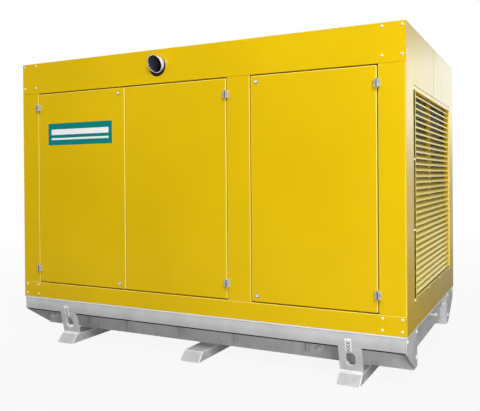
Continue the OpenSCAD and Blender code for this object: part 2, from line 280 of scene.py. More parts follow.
class NodeTree:
    """Adds the nodes of a material or of the world, and links them."""

    def __init__(self, tree):
        self.nodes = tree.nodes
        self.links = tree.links
        self.coordinates = self.add("ShaderNodeTexCoord").outputs
        self.place = self.coordinates["Object"]

    def add(self, kind, **settings):
        node = self.nodes.new(kind)
        for key, value in settings.items():
            setattr(node, key, value)
        return node

    def link(self, source, target):
        self.links.new(source, target)

    def feed(self, value, target):
        """Links a socket to the target, or sets the target to a plain value."""
        if isinstance(value, bpy.types.NodeSocket):
            self.link(value, target)
        else:
            target.default_value = value

    def axis(self, name):
        """The object's own coordinate along an axis."""
        node = self.add("ShaderNodeSeparateXYZ")
        self.link(self.place, node.inputs["Vector"])
        return node.outputs[name]

    def maths(self, operation, *values):
        """A sum on sockets and plain numbers."""
        node = self.add("ShaderNodeMath", operation=operation)
        for value, target in zip(values, node.inputs):
            self.feed(value, target)
        return node.outputs[0]

    def noise(self, scale, detail=2.0, roughness=0.5, stretch=(1, 1, 1)):
        """Noise on the object's own coordinates; stretch squeezes it along an axis."""
        node = self.add("ShaderNodeTexNoise")
        node.inputs["Scale"].default_value = scale
        node.inputs["Detail"].default_value = detail
        node.inputs["Roughness"].default_value = roughness
        mapping = self.add("ShaderNodeMapping")
        mapping.inputs["Scale"].default_value = stretch
        self.link(self.place, mapping.inputs["Vector"])
        self.link(mapping.outputs["Vector"], node.inputs["Vector"])
        return node.outputs["Fac"]

    def ranged(self, value, low, high, to_low, to_high):
        """Maps a value from one range to another."""
        node = self.add("ShaderNodeMapRange")
        for socket, number in zip(("From Min", "From Max", "To Min", "To Max"),
                                  (low, high, to_low, to_high)):
            node.inputs[socket].default_value = number
        self.link(value, node.inputs["Value"])
        return node.outputs["Result"]

    def blend(self, factor, first, second):
        """Mixes two colours; each is a socket or a plain colour."""
        node = self.add("ShaderNodeMix", data_type="RGBA")
        self.link(factor, node.inputs["Factor"])
        for target, colour in ((node.inputs[6], first), (node.inputs[7], second)):
            if not isinstance(colour, bpy.types.NodeSocket):
                colour = (*colour, 1)
            self.feed(colour, target)
        return node.outputs[2]


class Finish(NodeTree):
    """Builds one material on a Principled shader."""

    def __init__(self, name, colour, roughness, metallic=0.0, coat=0.0, coat_roughness=0.1,
                 specular=0.5):
        self.material = bpy.data.materials.new(name)
        self.material.use_nodes = True
        super().__init__(self.material.node_tree)
        self.shader = self.nodes["Principled BSDF"]
        self.colour = colour
        for socket, value in (
            ("Base Color", (*colour, 1)), ("Roughness", roughness), ("Metallic", metallic),
            ("Coat Weight", coat), ("Coat Roughness", coat_roughness),
            ("Specular IOR Level", specular),
        ):
            self.shader.inputs[socket].default_value = value

    def coloured(self, colour):
        self.link(colour, self.shader.inputs["Base Color"])

    def tinted(self, factor, amount):
        """Lets the base colour drift darker and lighter by a share."""
        dark = [c * (1 - amount) for c in self.colour]
        light = [min(1, c * (1 + amount)) for c in self.colour]
        colour = self.blend(factor, dark, light)
        self.coloured(colour)
        return colour

    def rough(self, factor, low, high):
        """Lets the roughness drift between two values."""
        self.link(self.ranged(factor, 0.3, 0.7, low, high), self.shader.inputs["Roughness"])

    def bump(self, height, strength, distance):
        """Gives the surface a fine relief."""
        node = self.add("ShaderNodeBump")
        node.inputs["Strength"].default_value = strength
        node.inputs["Distance"].default_value = distance
        self.link(height, node.inputs["Height"])
        self.link(node.outputs["Normal"], self.shader.inputs["Normal"])


def canopy_paint(colour):
    """Yellow powder coat: even colour, a clear gloss and the long soft waves of thin sheet."""
    f = Finish("canopy_paint", colour, 0.3, coat=1.0, coat_roughness=0.1, specular=0.2)
    f.tinted(f.ranged(f.noise(1.1, 2), 0.35, 0.65, 0, 1), 0.035)
    f.rough(f.noise(5, 2), 0.30, 0.36)
    f.bump(f.noise(1.6, 1), 0.05, 0.001)
    return f.material


def fold_highlight_paint(colour):
    """A lighter, yellower copy of the coat: a painted highlight along the folds and on the
    louvres.
    """
    f = Finish("fold_paint", colour, 0.3, coat=0.6, coat_roughness=0.1, specular=0.2)
    f.tinted(f.noise(14, 2), 0.06)
    f.rough(f.noise(30, 2), 0.30, 0.38)
    f.bump(f.noise(90, 2), 0.05, 0.0003)
    return f.material


def frame_paint(name, colour):
    """Light grey satin paint over welded steel, with a little road dust low down."""
    f = Finish(name, colour, 0.42, coat=0.1, coat_roughness=0.3)
    paint = f.tinted(f.ranged(f.noise(6, 4), 0.35, 0.65, 0, 1), 0.07)
    low = f.ranged(f.axis("Z"), 0.03, 0.2, 1, 0)
    patches = f.ranged(f.noise(28, 5, 0.65), 0.48, 0.75, 0, 0.5)
    f.coloured(f.blend(f.maths("MULTIPLY", low, patches), paint, (0.33, 0.31, 0.28)))
    f.rough(f.noise(40, 3), 0.36, 0.52)
    f.bump(f.noise(180, 3), 0.12, 0.0008)
    return f.material


def edge_highlight_paint(colour):
    """Nearly white paint along the edges and over the welds: a painted highlight."""
    f = Finish("rubbed_edge", colour, 0.34, metallic=0.1, coat=0.3)
    f.tinted(f.noise(60, 3), 0.08)
    f.rough(f.noise(90, 3), 0.28, 0.44)
    f.bump(f.noise(300, 3), 0.10, 0.0005)
    return f.material


def zinc(colour):
    """Zinc plate: soft mottled spangle and fine scratches."""
    f = Finish("zinc_plate", colour, 0.32, metallic=0.45, coat=0.3)
    f.tinted(f.ranged(f.noise(160, 3), 0.35, 0.65, 0, 1), 0.12)
    f.rough(f.noise(220, 2), 0.24, 0.42)
    f.bump(f.noise(900, 2, stretch=(1, 1, 0.1)), 0.06, 0.0003)
    return f.material


def chrome(colour):
    """Bright plate with a faint haze, nearly white and barely metallic: a painted glint."""
    f = Finish("bright_chrome", colour, 0.25, metallic=0.15, coat=0.5)
    f.tinted(f.noise(90, 2), 0.04)
    f.rough(f.noise(140, 3), 0.16, 0.28)
    f.bump(f.noise(700, 2), 0.03, 0.0002)
    return f.material


def bolt_plate(colour):
    """Pale plating on the canopy bolts, a little yellowed and made nearly white: a painted
    glint.
    """
    f = Finish("bolt_plate", colour, 0.3, metallic=0.1, coat=0.6)
    f.tinted(f.noise(120, 2), 0.06)
    f.rough(f.noise(160, 2), 0.24, 0.38)
    f.bump(f.noise(800, 2), 0.04, 0.0002)
    return f.material


def pipe_steel(colour):
    """Bright drawn steel with a faint heat tint and lines along the pipe; its pale lilac-white,
    barely metallic colour is a painted reflection.
    """
    f = Finish("pipe_steel", colour, 0.28, metallic=0.15, coat=0.4)
    base = f.tinted(f.noise(30, 3, stretch=(1, 0.1, 1)), 0.10)
    f.coloured(f.blend(f.ranged(f.noise(9, 2), 0.5, 0.8, 0, 0.25), base,
                       (0.52, 0.48, 0.46)))
    f.rough(f.noise(60, 3, stretch=(1, 0.08, 1)), 0.20, 0.38)
    f.bump(f.noise(500, 2, stretch=(1, 0.05, 1)), 0.08, 0.0003)
    return f.material


def soot(colour):
    """Dry soot in uneven patches."""
    f = Finish("exhaust_soot", colour, 0.7, metallic=0.2)
    f.tinted(f.noise(60, 5, 0.7), 0.5)
    f.rough(f.noise(80, 4), 0.45, 0.7)
    f.bump(f.noise(300, 4), 0.3, 0.0008)
    return f.material


def machine_paint(colour):
    """Dark enamel over rough castings."""
    f = Finish("machine_enamel", colour, 0.42, coat=0.2, coat_roughness=0.25)
    f.tinted(f.noise(18, 4, 0.6), 0.22)
    f.rough(f.noise(50, 3), 0.34, 0.55)
    f.bump(f.noise(240, 4, 0.6), 0.25, 0.0012)
    return f.material


def rubber(colour):
    """Dull black rubber."""
    f = Finish("seal_rubber", colour, 0.62, specular=0.35)
    f.tinted(f.noise(70, 3), 0.2)
    f.rough(f.noise(120, 3), 0.5, 0.72)
    f.bump(f.noise(600, 2), 0.15, 0.0004)
    return f.material


def vinyl(name, colour):
    """Stuck-on film with a soft sheen."""
    f = Finish(name, colour, 0.3, coat=0.15)
    f.tinted(f.noise(5, 2), 0.03)
    f.rough(f.noise(60, 2), 0.26, 0.36)
    f.bump(f.noise(300, 2), 0.04, 0.0004)
    return f.material


def perforated(colour):
    """Lining sheet punched with rows of small round holes."""
    f = Finish("perforated_lining", colour, 0.4, metallic=0.2)
    flat = f.add("ShaderNodeCombineXYZ")
    f.link(f.axis("X"), flat.inputs["X"])
    f.link(f.axis("Z"), flat.inputs["Y"])
    holes = f.add("ShaderNodeTexVoronoi", voronoi_dimensions="2D")
    holes.inputs["Scale"].default_value = 62  # holes in a metre
    holes.inputs["Randomness"].default_value = 0
    f.link(flat.outputs["Vector"], holes.inputs["Vector"])
    hole = f.ranged(holes.outputs["Distance"], 0.24, 0.30, 1, 0)
    sheet = f.tinted(f.noise(12, 3), 0.08)
    f.coloured(f.blend(hole, sheet, (0.012, 0.012, 0.013)))
    f.rough(f.noise(50, 2), 0.34, 0.48)
    f.bump(f.ranged(holes.outputs["Distance"], 0.22, 0.32, 0, 1), 0.5, 0.0015)
    return f.material


def finned(colour):
    """Aluminium core: close upright fins crossed by flat tubes, with painted shade in the gaps
    between them.
    """
    f = Finish("finned_core", colour, 0.4, metallic=0.25)
    waves = []
    for axis, pitch in (("Y", 0.0032), ("Z", 0.011)):
        wave = f.maths("SINE", f.maths("MULTIPLY", f.axis(axis), math.tau / pitch))
        waves.append(f.ranged(wave, -0.2, 0.6, 0, 1))
    metal_share = f.maths("MAXIMUM", *waves)
    metal = f.tinted(f.noise(9, 4), 0.15)
    # The dark colour is painted shade in the gaps between the fins.
    f.coloured(f.blend(metal_share, (0.22, 0.20, 0.20), metal))
    f.rough(f.noise(40, 2), 0.34, 0.5)
    f.bump(metal_share, 0.6, 0.002)
    return f.material


FINISHES = {}


def make_finishes():
    """Makes every material once, from the colours in the panel."""
    c = bpy.context.scene.genset_colours
    FINISHES.update(
        canopy=canopy_paint(c.canopy), fold=fold_highlight_paint(c.fold),
        # The main beams get a lighter copy of the frame paint: painted light.
        frame=frame_paint("frame_paint", c.frame), beam=frame_paint("beam_paint", c.beam),
        edge=edge_highlight_paint(c.edge), zinc=zinc(c.zinc), chrome=chrome(c.chrome),
        bolt=bolt_plate(c.bolt), pipe=pipe_steel(c.pipe), soot=soot(c.soot),
        machine=machine_paint(c.machine), rubber=rubber(c.rubber),
        panel=vinyl("panel_film", c.panel), white=vinyl("white_film", c.white),
        lining=perforated(c.lining), core=finned(c.core),
    )


# ---------------------------------------------------------------- settings

def colour_setting(name, description, default):
    return FloatVectorProperty(name=name, description=description, default=default,
                               size=3, min=0, max=1, subtype="COLOR")


def length_setting(name, description, default):
    return FloatProperty(name=name, description=description, default=default,
                         min=0, unit="LENGTH")


class GENSET_PG_colours(bpy.types.PropertyGroup):
    """Colours of the finishes"""

    canopy: colour_setting("Canopy", "Powder coat on the canopy", (0.80, 0.53, 0.0))
    # Lighter than the canopy: a painted highlight on the folds, louvre rims and blades.
    fold: colour_setting("Fold", "Paint on the folds and louvres", (0.95, 0.77, 0.14))
    frame: colour_setting("Sled", "Paint on the sled frame", (0.60, 0.61, 0.62))
    # Lighter than the sled paint: painted light on the main beams' webs under the rails.
    beam: colour_setting("Beams", "Paint on the main beams", (0.69, 0.70, 0.71))
    # Nearly white: a painted highlight on the sled's edges, the welds and the exhaust lip.
    edge: colour_setting("Rubbed edge", "Edges and welds of the sled", (0.97, 0.97, 0.97))
    zinc: colour_setting("Zinc", "Hinges, cams and bands", (0.70, 0.72, 0.75))
    # Nearly white and barely metallic: a painted glint on the sled bolts, pin caps and screws.
    chrome: colour_setting("Chrome", "Sled bolts, pin caps and screws", (0.98, 0.98, 0.97))
    # Nearly white: a painted glint on the canopy bolts, latch cores and drain rod.
    bolt: colour_setting("Bolts", "Canopy bolts and latches", (0.98, 0.96, 0.80))
    # Pale lilac-white: a painted reflection on the exhaust pipe and riser.
    pipe: colour_setting("Pipe", "Exhaust pipe", (0.88, 0.84, 1.0))
    soot: colour_setting("Soot", "Exhaust bore and manifold", (0.11, 0.11, 0.15))
    machine: colour_setting("Machinery", "Engine enamel", (0.16, 0.19, 0.20))
    rubber: colour_setting("Rubber", "Seals, boot and fan", (0.02, 0.02, 0.021))
    panel: colour_setting("Panel", "Film panel on the first door", (0.0, 0.24, 0.23))
    white: colour_setting("White", "Stripes and sling marks", (0.98, 0.98, 0.98))
    lining: colour_setting("Lining", "Perforated lining", (0.66, 0.65, 0.62))
    core: colour_setting("Core", "Radiator core", (0.85, 0.80, 0.80))


class GENSET_PG_sizes(bpy.types.PropertyGroup):
    """Sizes of the fittings"""

    sheet_edge: length_setting("Sheet edge", "Fold radius of the canopy sheets", 0.0035)
    door_edge: length_setting("Door edge", "Fold radius of the doors", 0.005)
    steel_edge: length_setting("Steel edge", "Edge radius of the sled steel", 0.0025)
    bolt_head: length_setting("Bolt head", "Radius of the canopy bolt heads", 0.0085)
    seal_width: length_setting("Seal", "Width of the door seals", 0.014)
    stop_width: length_setting("Door stop", "Width of the door stops", 0.035)
    fan_blades: IntProperty(name="Fan blades", description="Blades on the cooling fan",
                            default=8, min=4, max=12)


class GENSET_PG_stage(bpy.types.PropertyGroup):
    """Camera and lights"""

    camera: FloatVectorProperty(name="Camera", description="Place of the camera", size=3,
                                default=(2.17833, -3.98058, 1.20810), unit="LENGTH")
    heading: FloatProperty(name="Heading", description="Turn of the camera to the left of +Y",
                           default=0.4296274, unit="ROTATION")
    tilt: FloatProperty(name="Tilt", description="Tilt of the camera above the horizon",
                        default=-0.0057580, unit="ROTATION")
    roll: FloatProperty(name="Roll", description="Roll of the camera",
                        default=-0.0071382, unit="ROTATION")
    lens: FloatProperty(name="Lens", description="Focal length", default=43.303,
                        unit="CAMERA")
    shift: FloatVectorProperty(name="Shift", description="Shift of the lens", size=2,
                               default=(-0.09581, -0.05538))
    key_power: FloatProperty(name="Key light", description="Power of the key light",
                             default=400, min=0, unit="POWER")
    fill_power: FloatProperty(name="Fill light", description="Power of the fill light",
                              default=85, min=0, unit="POWER")
    low_power: FloatProperty(name="Low light", description="Power of the low light",
                             default=85, min=0, unit="POWER")
    back_power: FloatProperty(name="Back light", description="Power of the light behind",
                              default=450, min=0, unit="POWER")
    sky: FloatProperty(name="Sky", description="Strength of the light from all round",
                       default=0.30, min=0)


# ---------------------------------------------------------------- stage

def stage_floor():
    """A pale floor that stays nearly white to the camera and keeps a light shadow."""
    bpy.ops.object.select_all(action="DESELECT")
    bpy.ops.mesh.primitive_plane_add(size=120, location=(0, 0, 0))
    floor = named("floor")
    material = bpy.data.materials.new("pale_floor")
    material.use_nodes = True
    material.node_tree.nodes.clear()
    t = NodeTree(material.node_tree)
    rays = t.add("ShaderNodeLightPath").outputs
    away = t.add("ShaderNodeVectorMath", operation="LENGTH")
    t.link(t.place, away.inputs[0])
    glow = t.ranged(away.outputs["Value"], 2.5, 9.0, 0.91, 1.0)
    # To reflections the floor is dark near by and glows more the further behind it lies: painted
    # reflection light.
    behind = t.ranged(t.axis("Y"), -0.5, 8.0, 0.0, 0.44)
    to_camera = t.maths("MULTIPLY", rays["Is Camera Ray"], glow)
    share = t.maths("MULTIPLY_ADD", rays["Is Glossy Ray"], behind, to_camera)
    plain = t.add("ShaderNodeBsdfDiffuse")
    t.link(t.blend(rays["Is Glossy Ray"], (0.40, 0.40, 0.40), (0.06, 0.06, 0.06)),
           plain.inputs["Color"])
    light = t.add("ShaderNodeEmission")
    light.inputs["Strength"].default_value = 1.0
    mix = t.add("ShaderNodeMixShader")
    for source, target in zip((share, plain.outputs[0], light.outputs[0]), mix.inputs):
        t.link(source, target)
    t.link(mix.outputs[0], t.add("ShaderNodeOutputMaterial").inputs["Surface"])
    floor.data.materials.append(material)


def stage_world(strength):
    """White to the camera, an even soft light, and brighter behind the object in gloss."""
    world = bpy.data.worlds.new("studio")
    bpy.context.scene.world = world
    world.use_nodes = True
    t = NodeTree(world.node_tree)
    background = t.nodes["Background"]
    rays = t.add("ShaderNodeLightPath").outputs
    t.link(t.blend(rays["Is Glossy Ray"], (1, 1, 1), (0.94, 1.0, 0.97)),
           background.inputs["Color"])
    sky = t.coordinates["Generated"]
    toward = t.add("ShaderNodeVectorMath", operation="DOT_PRODUCT")
    toward.inputs[1].default_value = (0.75, 0.66, 0)
    t.link(sky, toward.inputs[0])
    side = t.ranged(toward.outputs["Value"], 0.05, 0.45, 0.03, 1.35)
    split = t.add("ShaderNodeSeparateXYZ")
    t.link(sky, split.inputs["Vector"])
    height = t.add("ShaderNodeValToRGB")
    stops = height.color_ramp.elements
    for place, value in ((0.0, 0.42), (0.10, 1.0), (0.18, 1.0), (0.235, 0.45)):
        stop = stops.new(place)
        stop.color = (value, value, value, 1)
    stops.remove(stops[-1])
    stops.remove(stops[0])
    t.link(split.outputs["Z"], height.inputs["Fac"])
    gloss = t.maths("MULTIPLY", side, height.outputs["Color"])
    level = strength
    for ray, value in (("Is Glossy Ray", gloss), ("Is Camera Ray", 1.0)):
        mix = t.add("ShaderNodeMix")
        t.link(rays[ray], mix.inputs["Factor"])
        t.feed(level, mix.inputs["A"])
        t.feed(value, mix.inputs["B"])
        level = mix.outputs["Result"]
    t.link(level, background.inputs["Strength"])


def stage_lamp(name, place, aim, size, power):
    """A soft lamp that looks at a point."""
    lamp = bpy.data.lights.new(name, "AREA")
    lamp.shape = "RECTANGLE"
    lamp.size, lamp.size_y = size
    lamp.energy = power
    holder = bpy.data.objects.new(name, lamp)
    bpy.context.scene.collection.objects.link(holder)
    place = Vector(place)
    turn = (Vector(aim) - place).to_track_quat("-Z", "Y")
    holder.matrix_world = Matrix.Translation(place) @ turn.to_matrix().to_4x4()
    return holder


class GENSET_OT_stage(bpy.types.Operator):
    """Set up the camera, the floor and the studio light"""

    bl_idname = "genset.stage"
    bl_label = "Stage"

    def execute(self, context):
        s = context.scene.genset_stage
        side = Vector((math.cos(s.heading), math.sin(s.heading), 0))
        ahead = Vector((-math.sin(s.heading) * math.cos(s.tilt),
                        math.cos(s.heading) * math.cos(s.tilt), math.sin(s.tilt)))
        up = side.cross(ahead)
        across = math.cos(s.roll) * side + math.sin(s.roll) * up
        above = math.cos(s.roll) * up - math.sin(s.roll) * side
        turn = Matrix((across, above, -ahead)).transposed().to_4x4()
        data = bpy.data.cameras.new("camera")
        data.sensor_width = 36
        data.lens = s.lens
        data.shift_x, data.shift_y = s.shift
        data.clip_end = 200
        camera = bpy.data.objects.new("camera", data)
        context.scene.collection.objects.link(camera)
        camera.matrix_world = Matrix.Translation(s.camera) @ turn
        context.scene.camera = camera
        stage_floor()
        stage_world(s.sky)
        for name, place, aim, size, power, glossy in (
            ("key", (4.0, -5.0, 6.2), (0.5, -0.8, 1.3), (3.0, 3.0), s.key_power, True),
            ("fill", (-4.5, -4.0, 5.0), (-1.0, -0.8, 2.0), (2.0, 2.0), s.fill_power, False),
            ("low", (4.2, -4.7, 0.8), (1.3, 0.0, 1.2), (2.0, 1.2), s.low_power, False),
            ("back", (-3.6, 6.0, 4.6), (0.0, 0.8, 1.0), (3.0, 3.0), s.back_power, False),
        ):
            stage_lamp(name, place, aim, size, power).visible_glossy = glossy
        context.scene.view_settings.view_transform = "Standard"
        return {"FINISHED"}


# ---------------------------------------------------------------- canopy

def folds(piece, reach, sides):
    """Gives the outer folds at the sides (X) or the top (Z) of a sheet the lighter paint of a
    painted highlight.
    """
    piece.data.materials.append(FINISHES["fold"])
    co = [v.co for v in piece.data.vertices]
    low = Vector(min(c[i] for c in co) for i in range(3))
    high = Vector(max(c[i] for c in co) for i in range(3))
    for face in piece.data.polygons:
        at, n = face.center, face.normal
        outside = min(at.y - low.y, high.y - at.y) < reach and abs(n.y) > 0.1
        upright = min(at.x - low.x, high.x - at.x) < reach and 0.2 < abs(n.x) < 0.99
        top = high.z - at.z < reach and 0.2 < n.z < 0.99
        if outside and ("X" in sides and upright or "Z" in sides and top):
            face.material_index = 1
    return piece


class GENSET_OT_sheets(bpy.types.Operator):
    """Fold the edges of the posts, beams, sills and roof"""

    bl_idname = "genset.sheets"
    bl_label = "Canopy sheets"

    def execute(self, context):
        sizes = context.scene.genset_sizes
        nodes = ["roof"]
        for side in ("front", "rear"):
            nodes += [f"{side}_top_beam", f"{side}_sill", f"{side}_pillar",
                      f"{side}_left_post", f"{side}_right_post"]
        for node in nodes:
            sheet = soften(cad_copy(node + "_skin", node), sizes.sheet_edge, 3)
            given(sheet, BODY, "canopy")
            # Post, pillar and sill folds take the lighter fold paint: a painted highlight.
            if "post" in node or "pillar" in node:
                folds(sheet, sizes.sheet_edge, "X")
            elif "sill" in node:
                folds(sheet, sizes.sheet_edge, "Z")
        return {"FINISHED"}


def pressed_panel(name, low, high, axis, sign, border=0.025, slant=0.004, depth=0.003,
                  edge=0.001):
    """A sheet or cover with a shallow field pressed in on one side, inside its border."""
    panel = block(name, low, high)
    pick(panel, "faces", looks(axis, sign))
    inset_each(border)
    inset_each(slant, -depth)
    done()
    return soften(panel, edge)


def post_linings():
    """Lines the corner posts with punched sheet."""
    low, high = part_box("front_right_post")
    panels = []
    for left, right in ((low.x + 0.005, high.x - 0.008), (0.008 - high.x, -0.005 - low.x)):
        for turn in (1, -1):
            y = span(turn, high.y + 0.002, high.y + 0.008)
            panels.append(pressed_panel("lining", (left, y[0], SILL), (right, y[1], BEAM),
                                        "Y", turn, border=0.012))
    given(joined("post_linings", panels), BODY, "lining")


def louvre_trim():
    """Folds a rim round each louvre in the painted-highlight fold paint, lines it with dark
    strips as painted shade, and runs the seam of the sheet above it.
    """
    low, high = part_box("right_louvre_blades")
    root = RIGHT - 0.003
    rims, seals, seams = [], [], []
    for out in (1, -1):
        x = span(out, root, RIGHT + 0.0065)
        rims.append(ring("rim", (x[0], low.y - 0.011, low.z - 0.016),
                         (x[1], high.y + 0.011, high.z + 0.010), 0.007, "X"))
        # Dark strips beside the rim and under the lowest blade: painted shade.
        x = span(out, root, RIGHT + 0.0050)
        for y in (low.y - 0.0145, high.y + 0.0115):
            seals.append(soften(block("seal", (x[0], y, low.z - 0.012),
                                      (x[1], y + 0.003, high.z + 0.008)), 0.0006))
        x = span(out, root, RIGHT + 0.0003)
        seals.append(soften(block("seal", (x[0], low.y - 0.003, low.z - 0.0070),
                                  (x[1], high.y + 0.003, low.z - 0.0020)), 0.0006))
        x = span(out, RIGHT - 0.001, RIGHT + 0.0010)
        seams.append(block("seam", (x[0], 0.0035, high.z + 0.055),
                           (x[1], 0.0060, TOP - 0.006)))
    # The rims take the lighter fold paint: a painted highlight.
    given(joined("louvre_rims", rims), BODY, "fold")
    given(joined("louvre_seals", seals), BODY, "rubber")
    given(joined("end_seams", seams), BODY, "zinc")


class GENSET_OT_ends(bpy.types.Operator):
    """Fold the end sheets, line the posts and trim the louvres"""

    bl_idname = "genset.ends"
    bl_label = "Canopy ends"

    def execute(self, context):
        sizes = context.scene.genset_sizes
        for end in ("left", "right"):
            for node, width in (("end_sheet", sizes.sheet_edge * 0.8),
                                ("louvre_frame", 0.0015), ("louvre_blades", 0.0006)):
                piece = soften(cad_copy(f"{end}_{node}_skin", f"{end}_{node}"), width)
                # The blades take the lighter fold paint: a painted highlight.
                paint = "fold" if node == "louvre_blades" else "canopy"
                given(piece, BODY, paint)
        post_linings()
        louvre_trim()
        return {"FINISHED"}


def pressed_door(name, *nodes):
    """A door skin whose back is a shallow pan with a hem all round."""
    sizes = bpy.context.scene.genset_sizes
    door = cad_copy(name, *nodes)
    inward = 1 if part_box(nodes[0])[0].y < 0 else -1
    pick(door, "faces", looks("Y", inward))
    inset_each(0.028)
    bpy.ops.mesh.extrude_region_move(
        TRANSFORM_OT_translate={"value": (0, -0.012 * inward, 0)})
    done()
    return soften(door, sizes.door_edge, 3)


def door_lining(name, low, high, inward):
    """A punched lining panel with a raised rim and two pressed ribs."""
    back = high.y if inward > 0 else low.y
    y = sorted((back - 0.013 * inward, back - 0.004 * inward))
    piece = block(name, (low.x + 0.034, y[0], low.z + 0.034),
                  (high.x - 0.034, y[1], high.z - 0.034))
    third = (high.z - low.z) / 3
    cut(piece, "Z", [z + shift for z in (low.z + third, high.z - third)
                     for shift in (-0.03, 0.03)])
    pick(piece, "faces", lambda f: f.normal.y * inward > 0.9
         and min(abs(f.calc_center_median().z - (low.z + third * k)) for k in (1, 2)) > 0.05)
    inset_each(0.03)
    inset_each(0.006, -0.005)
    done()
    return soften(piece, 0.0012)


class GENSET_OT_doors(bpy.types.Operator):
    """Press the door pans and line them"""

    bl_idname = "genset.doors"
    bl_label = "Doors"

    def execute(self, context):
        sizes = context.scene.genset_sizes
        for door in DOORS:
            low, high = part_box(door)
            # The door folds take the lighter fold paint: a painted highlight.
            folds(given(pressed_door(door + "_skin", door), door + "_leaf",
                        "canopy"), sizes.door_edge, "XZ")
            given(door_lining(door + "_lining", low, high, 1), door + "_leaf", "lining")
        given(pressed_door("rear_doors_skin", "rear_doors"), BODY, "canopy")
        linings = []
        for door in DOORS:
            low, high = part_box(door)
            linings.append(door_lining("rear_lining", Vector((low.x, -high.y, low.z)),
                                       Vector((high.x, -low.y, high.z)), -1))
        given(joined("rear_door_linings", linings), BODY, "lining")
        return {"FINISHED"}


def openings():
    """Each door opening as (left, right): doors 1 and 2 share a slim post."""
    boxes = [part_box(door) for door in DOORS]
    gap = (boxes[1][0].x - boxes[0][1].x) / 2
    return [(low.x - 2 * gap, high.x + 2 * gap) for low, high in boxes], gap


class GENSET_OT_door_stops(bpy.types.Operator):
    """Add the stops behind the doors, the slim middle post and the rubber seals"""

    bl_idname = "genset.door_stops"
    bl_label = "Door stops and seals"

    def execute(self, context):
        sizes = context.scene.genset_sizes
        spans, gap = openings()
        spans[0] = (spans[0][0], spans[0][1] - gap)
        spans[1] = (spans[1][0] + gap, spans[1][1])
        for side, face, inward in (("front", FRONT, 1), ("rear", REAR, -1)):
            back = face + inward * 0.040
            stops, seals = [], []
            for left, right in spans:
                y = sorted((back + inward * 0.007, back + inward * 0.015))
                stops.append(ring("stop", (left, y[0], SILL), (right, y[1], BEAM),
                                  sizes.stop_width))
                y = sorted((back, back + inward * 0.007))
                edge = 2 * gap + 0.005
                seals.append(ring("seal", (left + edge, y[0], SILL + edge),
                                  (right - edge, y[1], BEAM - edge),
                                  sizes.seal_width, soft=0.0025))
            middle = spans[0][1]
            y = sorted((back + inward * 0.009, back + inward * 0.040))
            stops.append(soften(block("post", (middle - 0.03, y[0], SILL),
                                      (middle + 0.03, y[1], BEAM)), 0.003, 3))
            given(joined(side + "_door_stops", stops), BODY, "canopy")
            given(joined(side + "_door_seals", seals), BODY, "rubber")
        return {"FINISHED"}


def hinge_levels(door):
    """The heights of the middles of a door's two hinges."""
    low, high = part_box(door + "_hinges")
    return low.z + HINGE_MIDDLE, high.z - HINGE_MIDDLE


def hinge_blocks(joints):
    """Narrows the leaves of the block hinges beside their round knuckles."""
    bodies = {"post_hinges": BODY, "rear_hinges": BODY}
    bodies.update({door + "_hinges": door + "_leaf" for door in DOORS})
    pins = [joints[door + "_leaf"][0] for door in DOORS]
    levels = hinge_levels("door_1")
    for node, body in bodies.items():
        hinge = cad_copy(node + "_blocks", node)
        for v in hinge.data.vertices:
            pin = min(pins, key=lambda x: abs(x - v.co.x))
            level = min(levels, key=lambda z: abs(z - v.co.z))
            if abs(v.co.x - pin) > LEAF_END:
                v.co.x = pin + math.copysign(HINGE_HALF, v.co.x - pin)
            v.co.z = level + (v.co.z - level) * HINGE_HEIGHT
        given(soften(hinge, 0.0009), body, "zinc")


def hinge_fittings(joints):
    """Adds dark strips as painted shade in the gaps between the knuckles, the pin caps and the
    screws.
    """
    screws = {BODY: [], **{door + "_leaf": [] for door in DOORS}}
    caps, gap_shades = [], {body: [] for body in screws}
    for door in DOORS:
        x, y, _ = joints[door + "_leaf"]
        low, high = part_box(door + "_hinges")
        leaf = math.copysign(0.0143, (low.x + high.x) / 2 - x)  # from the pin to the screws
        for z in hinge_levels(door):
            for turn in (1, -1):
                body = door + "_leaf" if turn > 0 else BODY
                depth = span(turn, low.y - 0.0005, low.y + 0.0010)
                # Dark strips in the knuckle gaps: painted shade.
                for rider, bottom, top in ((BODY, -0.0225, -0.0085), (body, -0.0070, 0.0070),
                                           (BODY, 0.0085, 0.0225)):
                    gap_shades[rider].append(block("gap", (x - 0.0020, depth[0], z + bottom),
                                             (x + 0.0020, depth[1], z + top)))
                caps += [seat((x, y * turn, z + 0.0232), (0, 0, 1)),
                         seat((x, y * turn, z - 0.0232), (0, 0, -1))]
                out = (0, -turn, 0)
                face = (FRONT - HINGE_FACE) * turn
                for step in (-0.0145, 0.0145):
                    screws[BODY].append(seat((x - leaf, face, z + step), out))
                    screws[body].append(seat((x + leaf, face, z + step), out))
    cap = turned("cap", [(0, 0), (0.0042, 0), (0.0042, 0.001), (0.003, 0.0022), (0, 0.0026)],
                 16)
    given(repeated("hinge_pin_caps", cap, caps), BODY, "chrome")
    for body, strips in gap_shades.items():
        given(joined(body + "_hinge_gaps", strips), body, "rubber")
    for body, places in screws.items():
        head = turned("head", [(0, -0.0004), (0.0036, -0.0004), (0.0036, 0.0003),
                               (0.0028, 0.0008), (0.0016, 0.0008), (0.0014, 0.0001),
                               (0, 0.0001)], 14)
        given(repeated(body + "_hinge_screws", head, places), body, "chrome")


class GENSET_OT_hinges(bpy.types.Operator):
    """Trim the block hinges and add their gaps, pin caps and screws"""

    bl_idname = "genset.hinges"
    bl_label = "Hinges"

    def execute(self, context):
        joints = {joint["child"]: joint["pos_m"] for joint in frame["joints"]}
        hinge_blocks(joints)
        hinge_fittings(joints)
        return {"FINISHED"}


def latch_shade_collar():
    """The collar of a quarter-turn latch, dark as a painted shadow round its bright core."""
    return turned("collar", [(0.0104, 0), (0.0136, 0), (0.0136, 0.0010), (0.0130, 0.0018),
                             (0.0118, 0.0020), (0.0106, 0.0018), (0.0104, 0.0010),
                             (0.0104, 0)], 40)


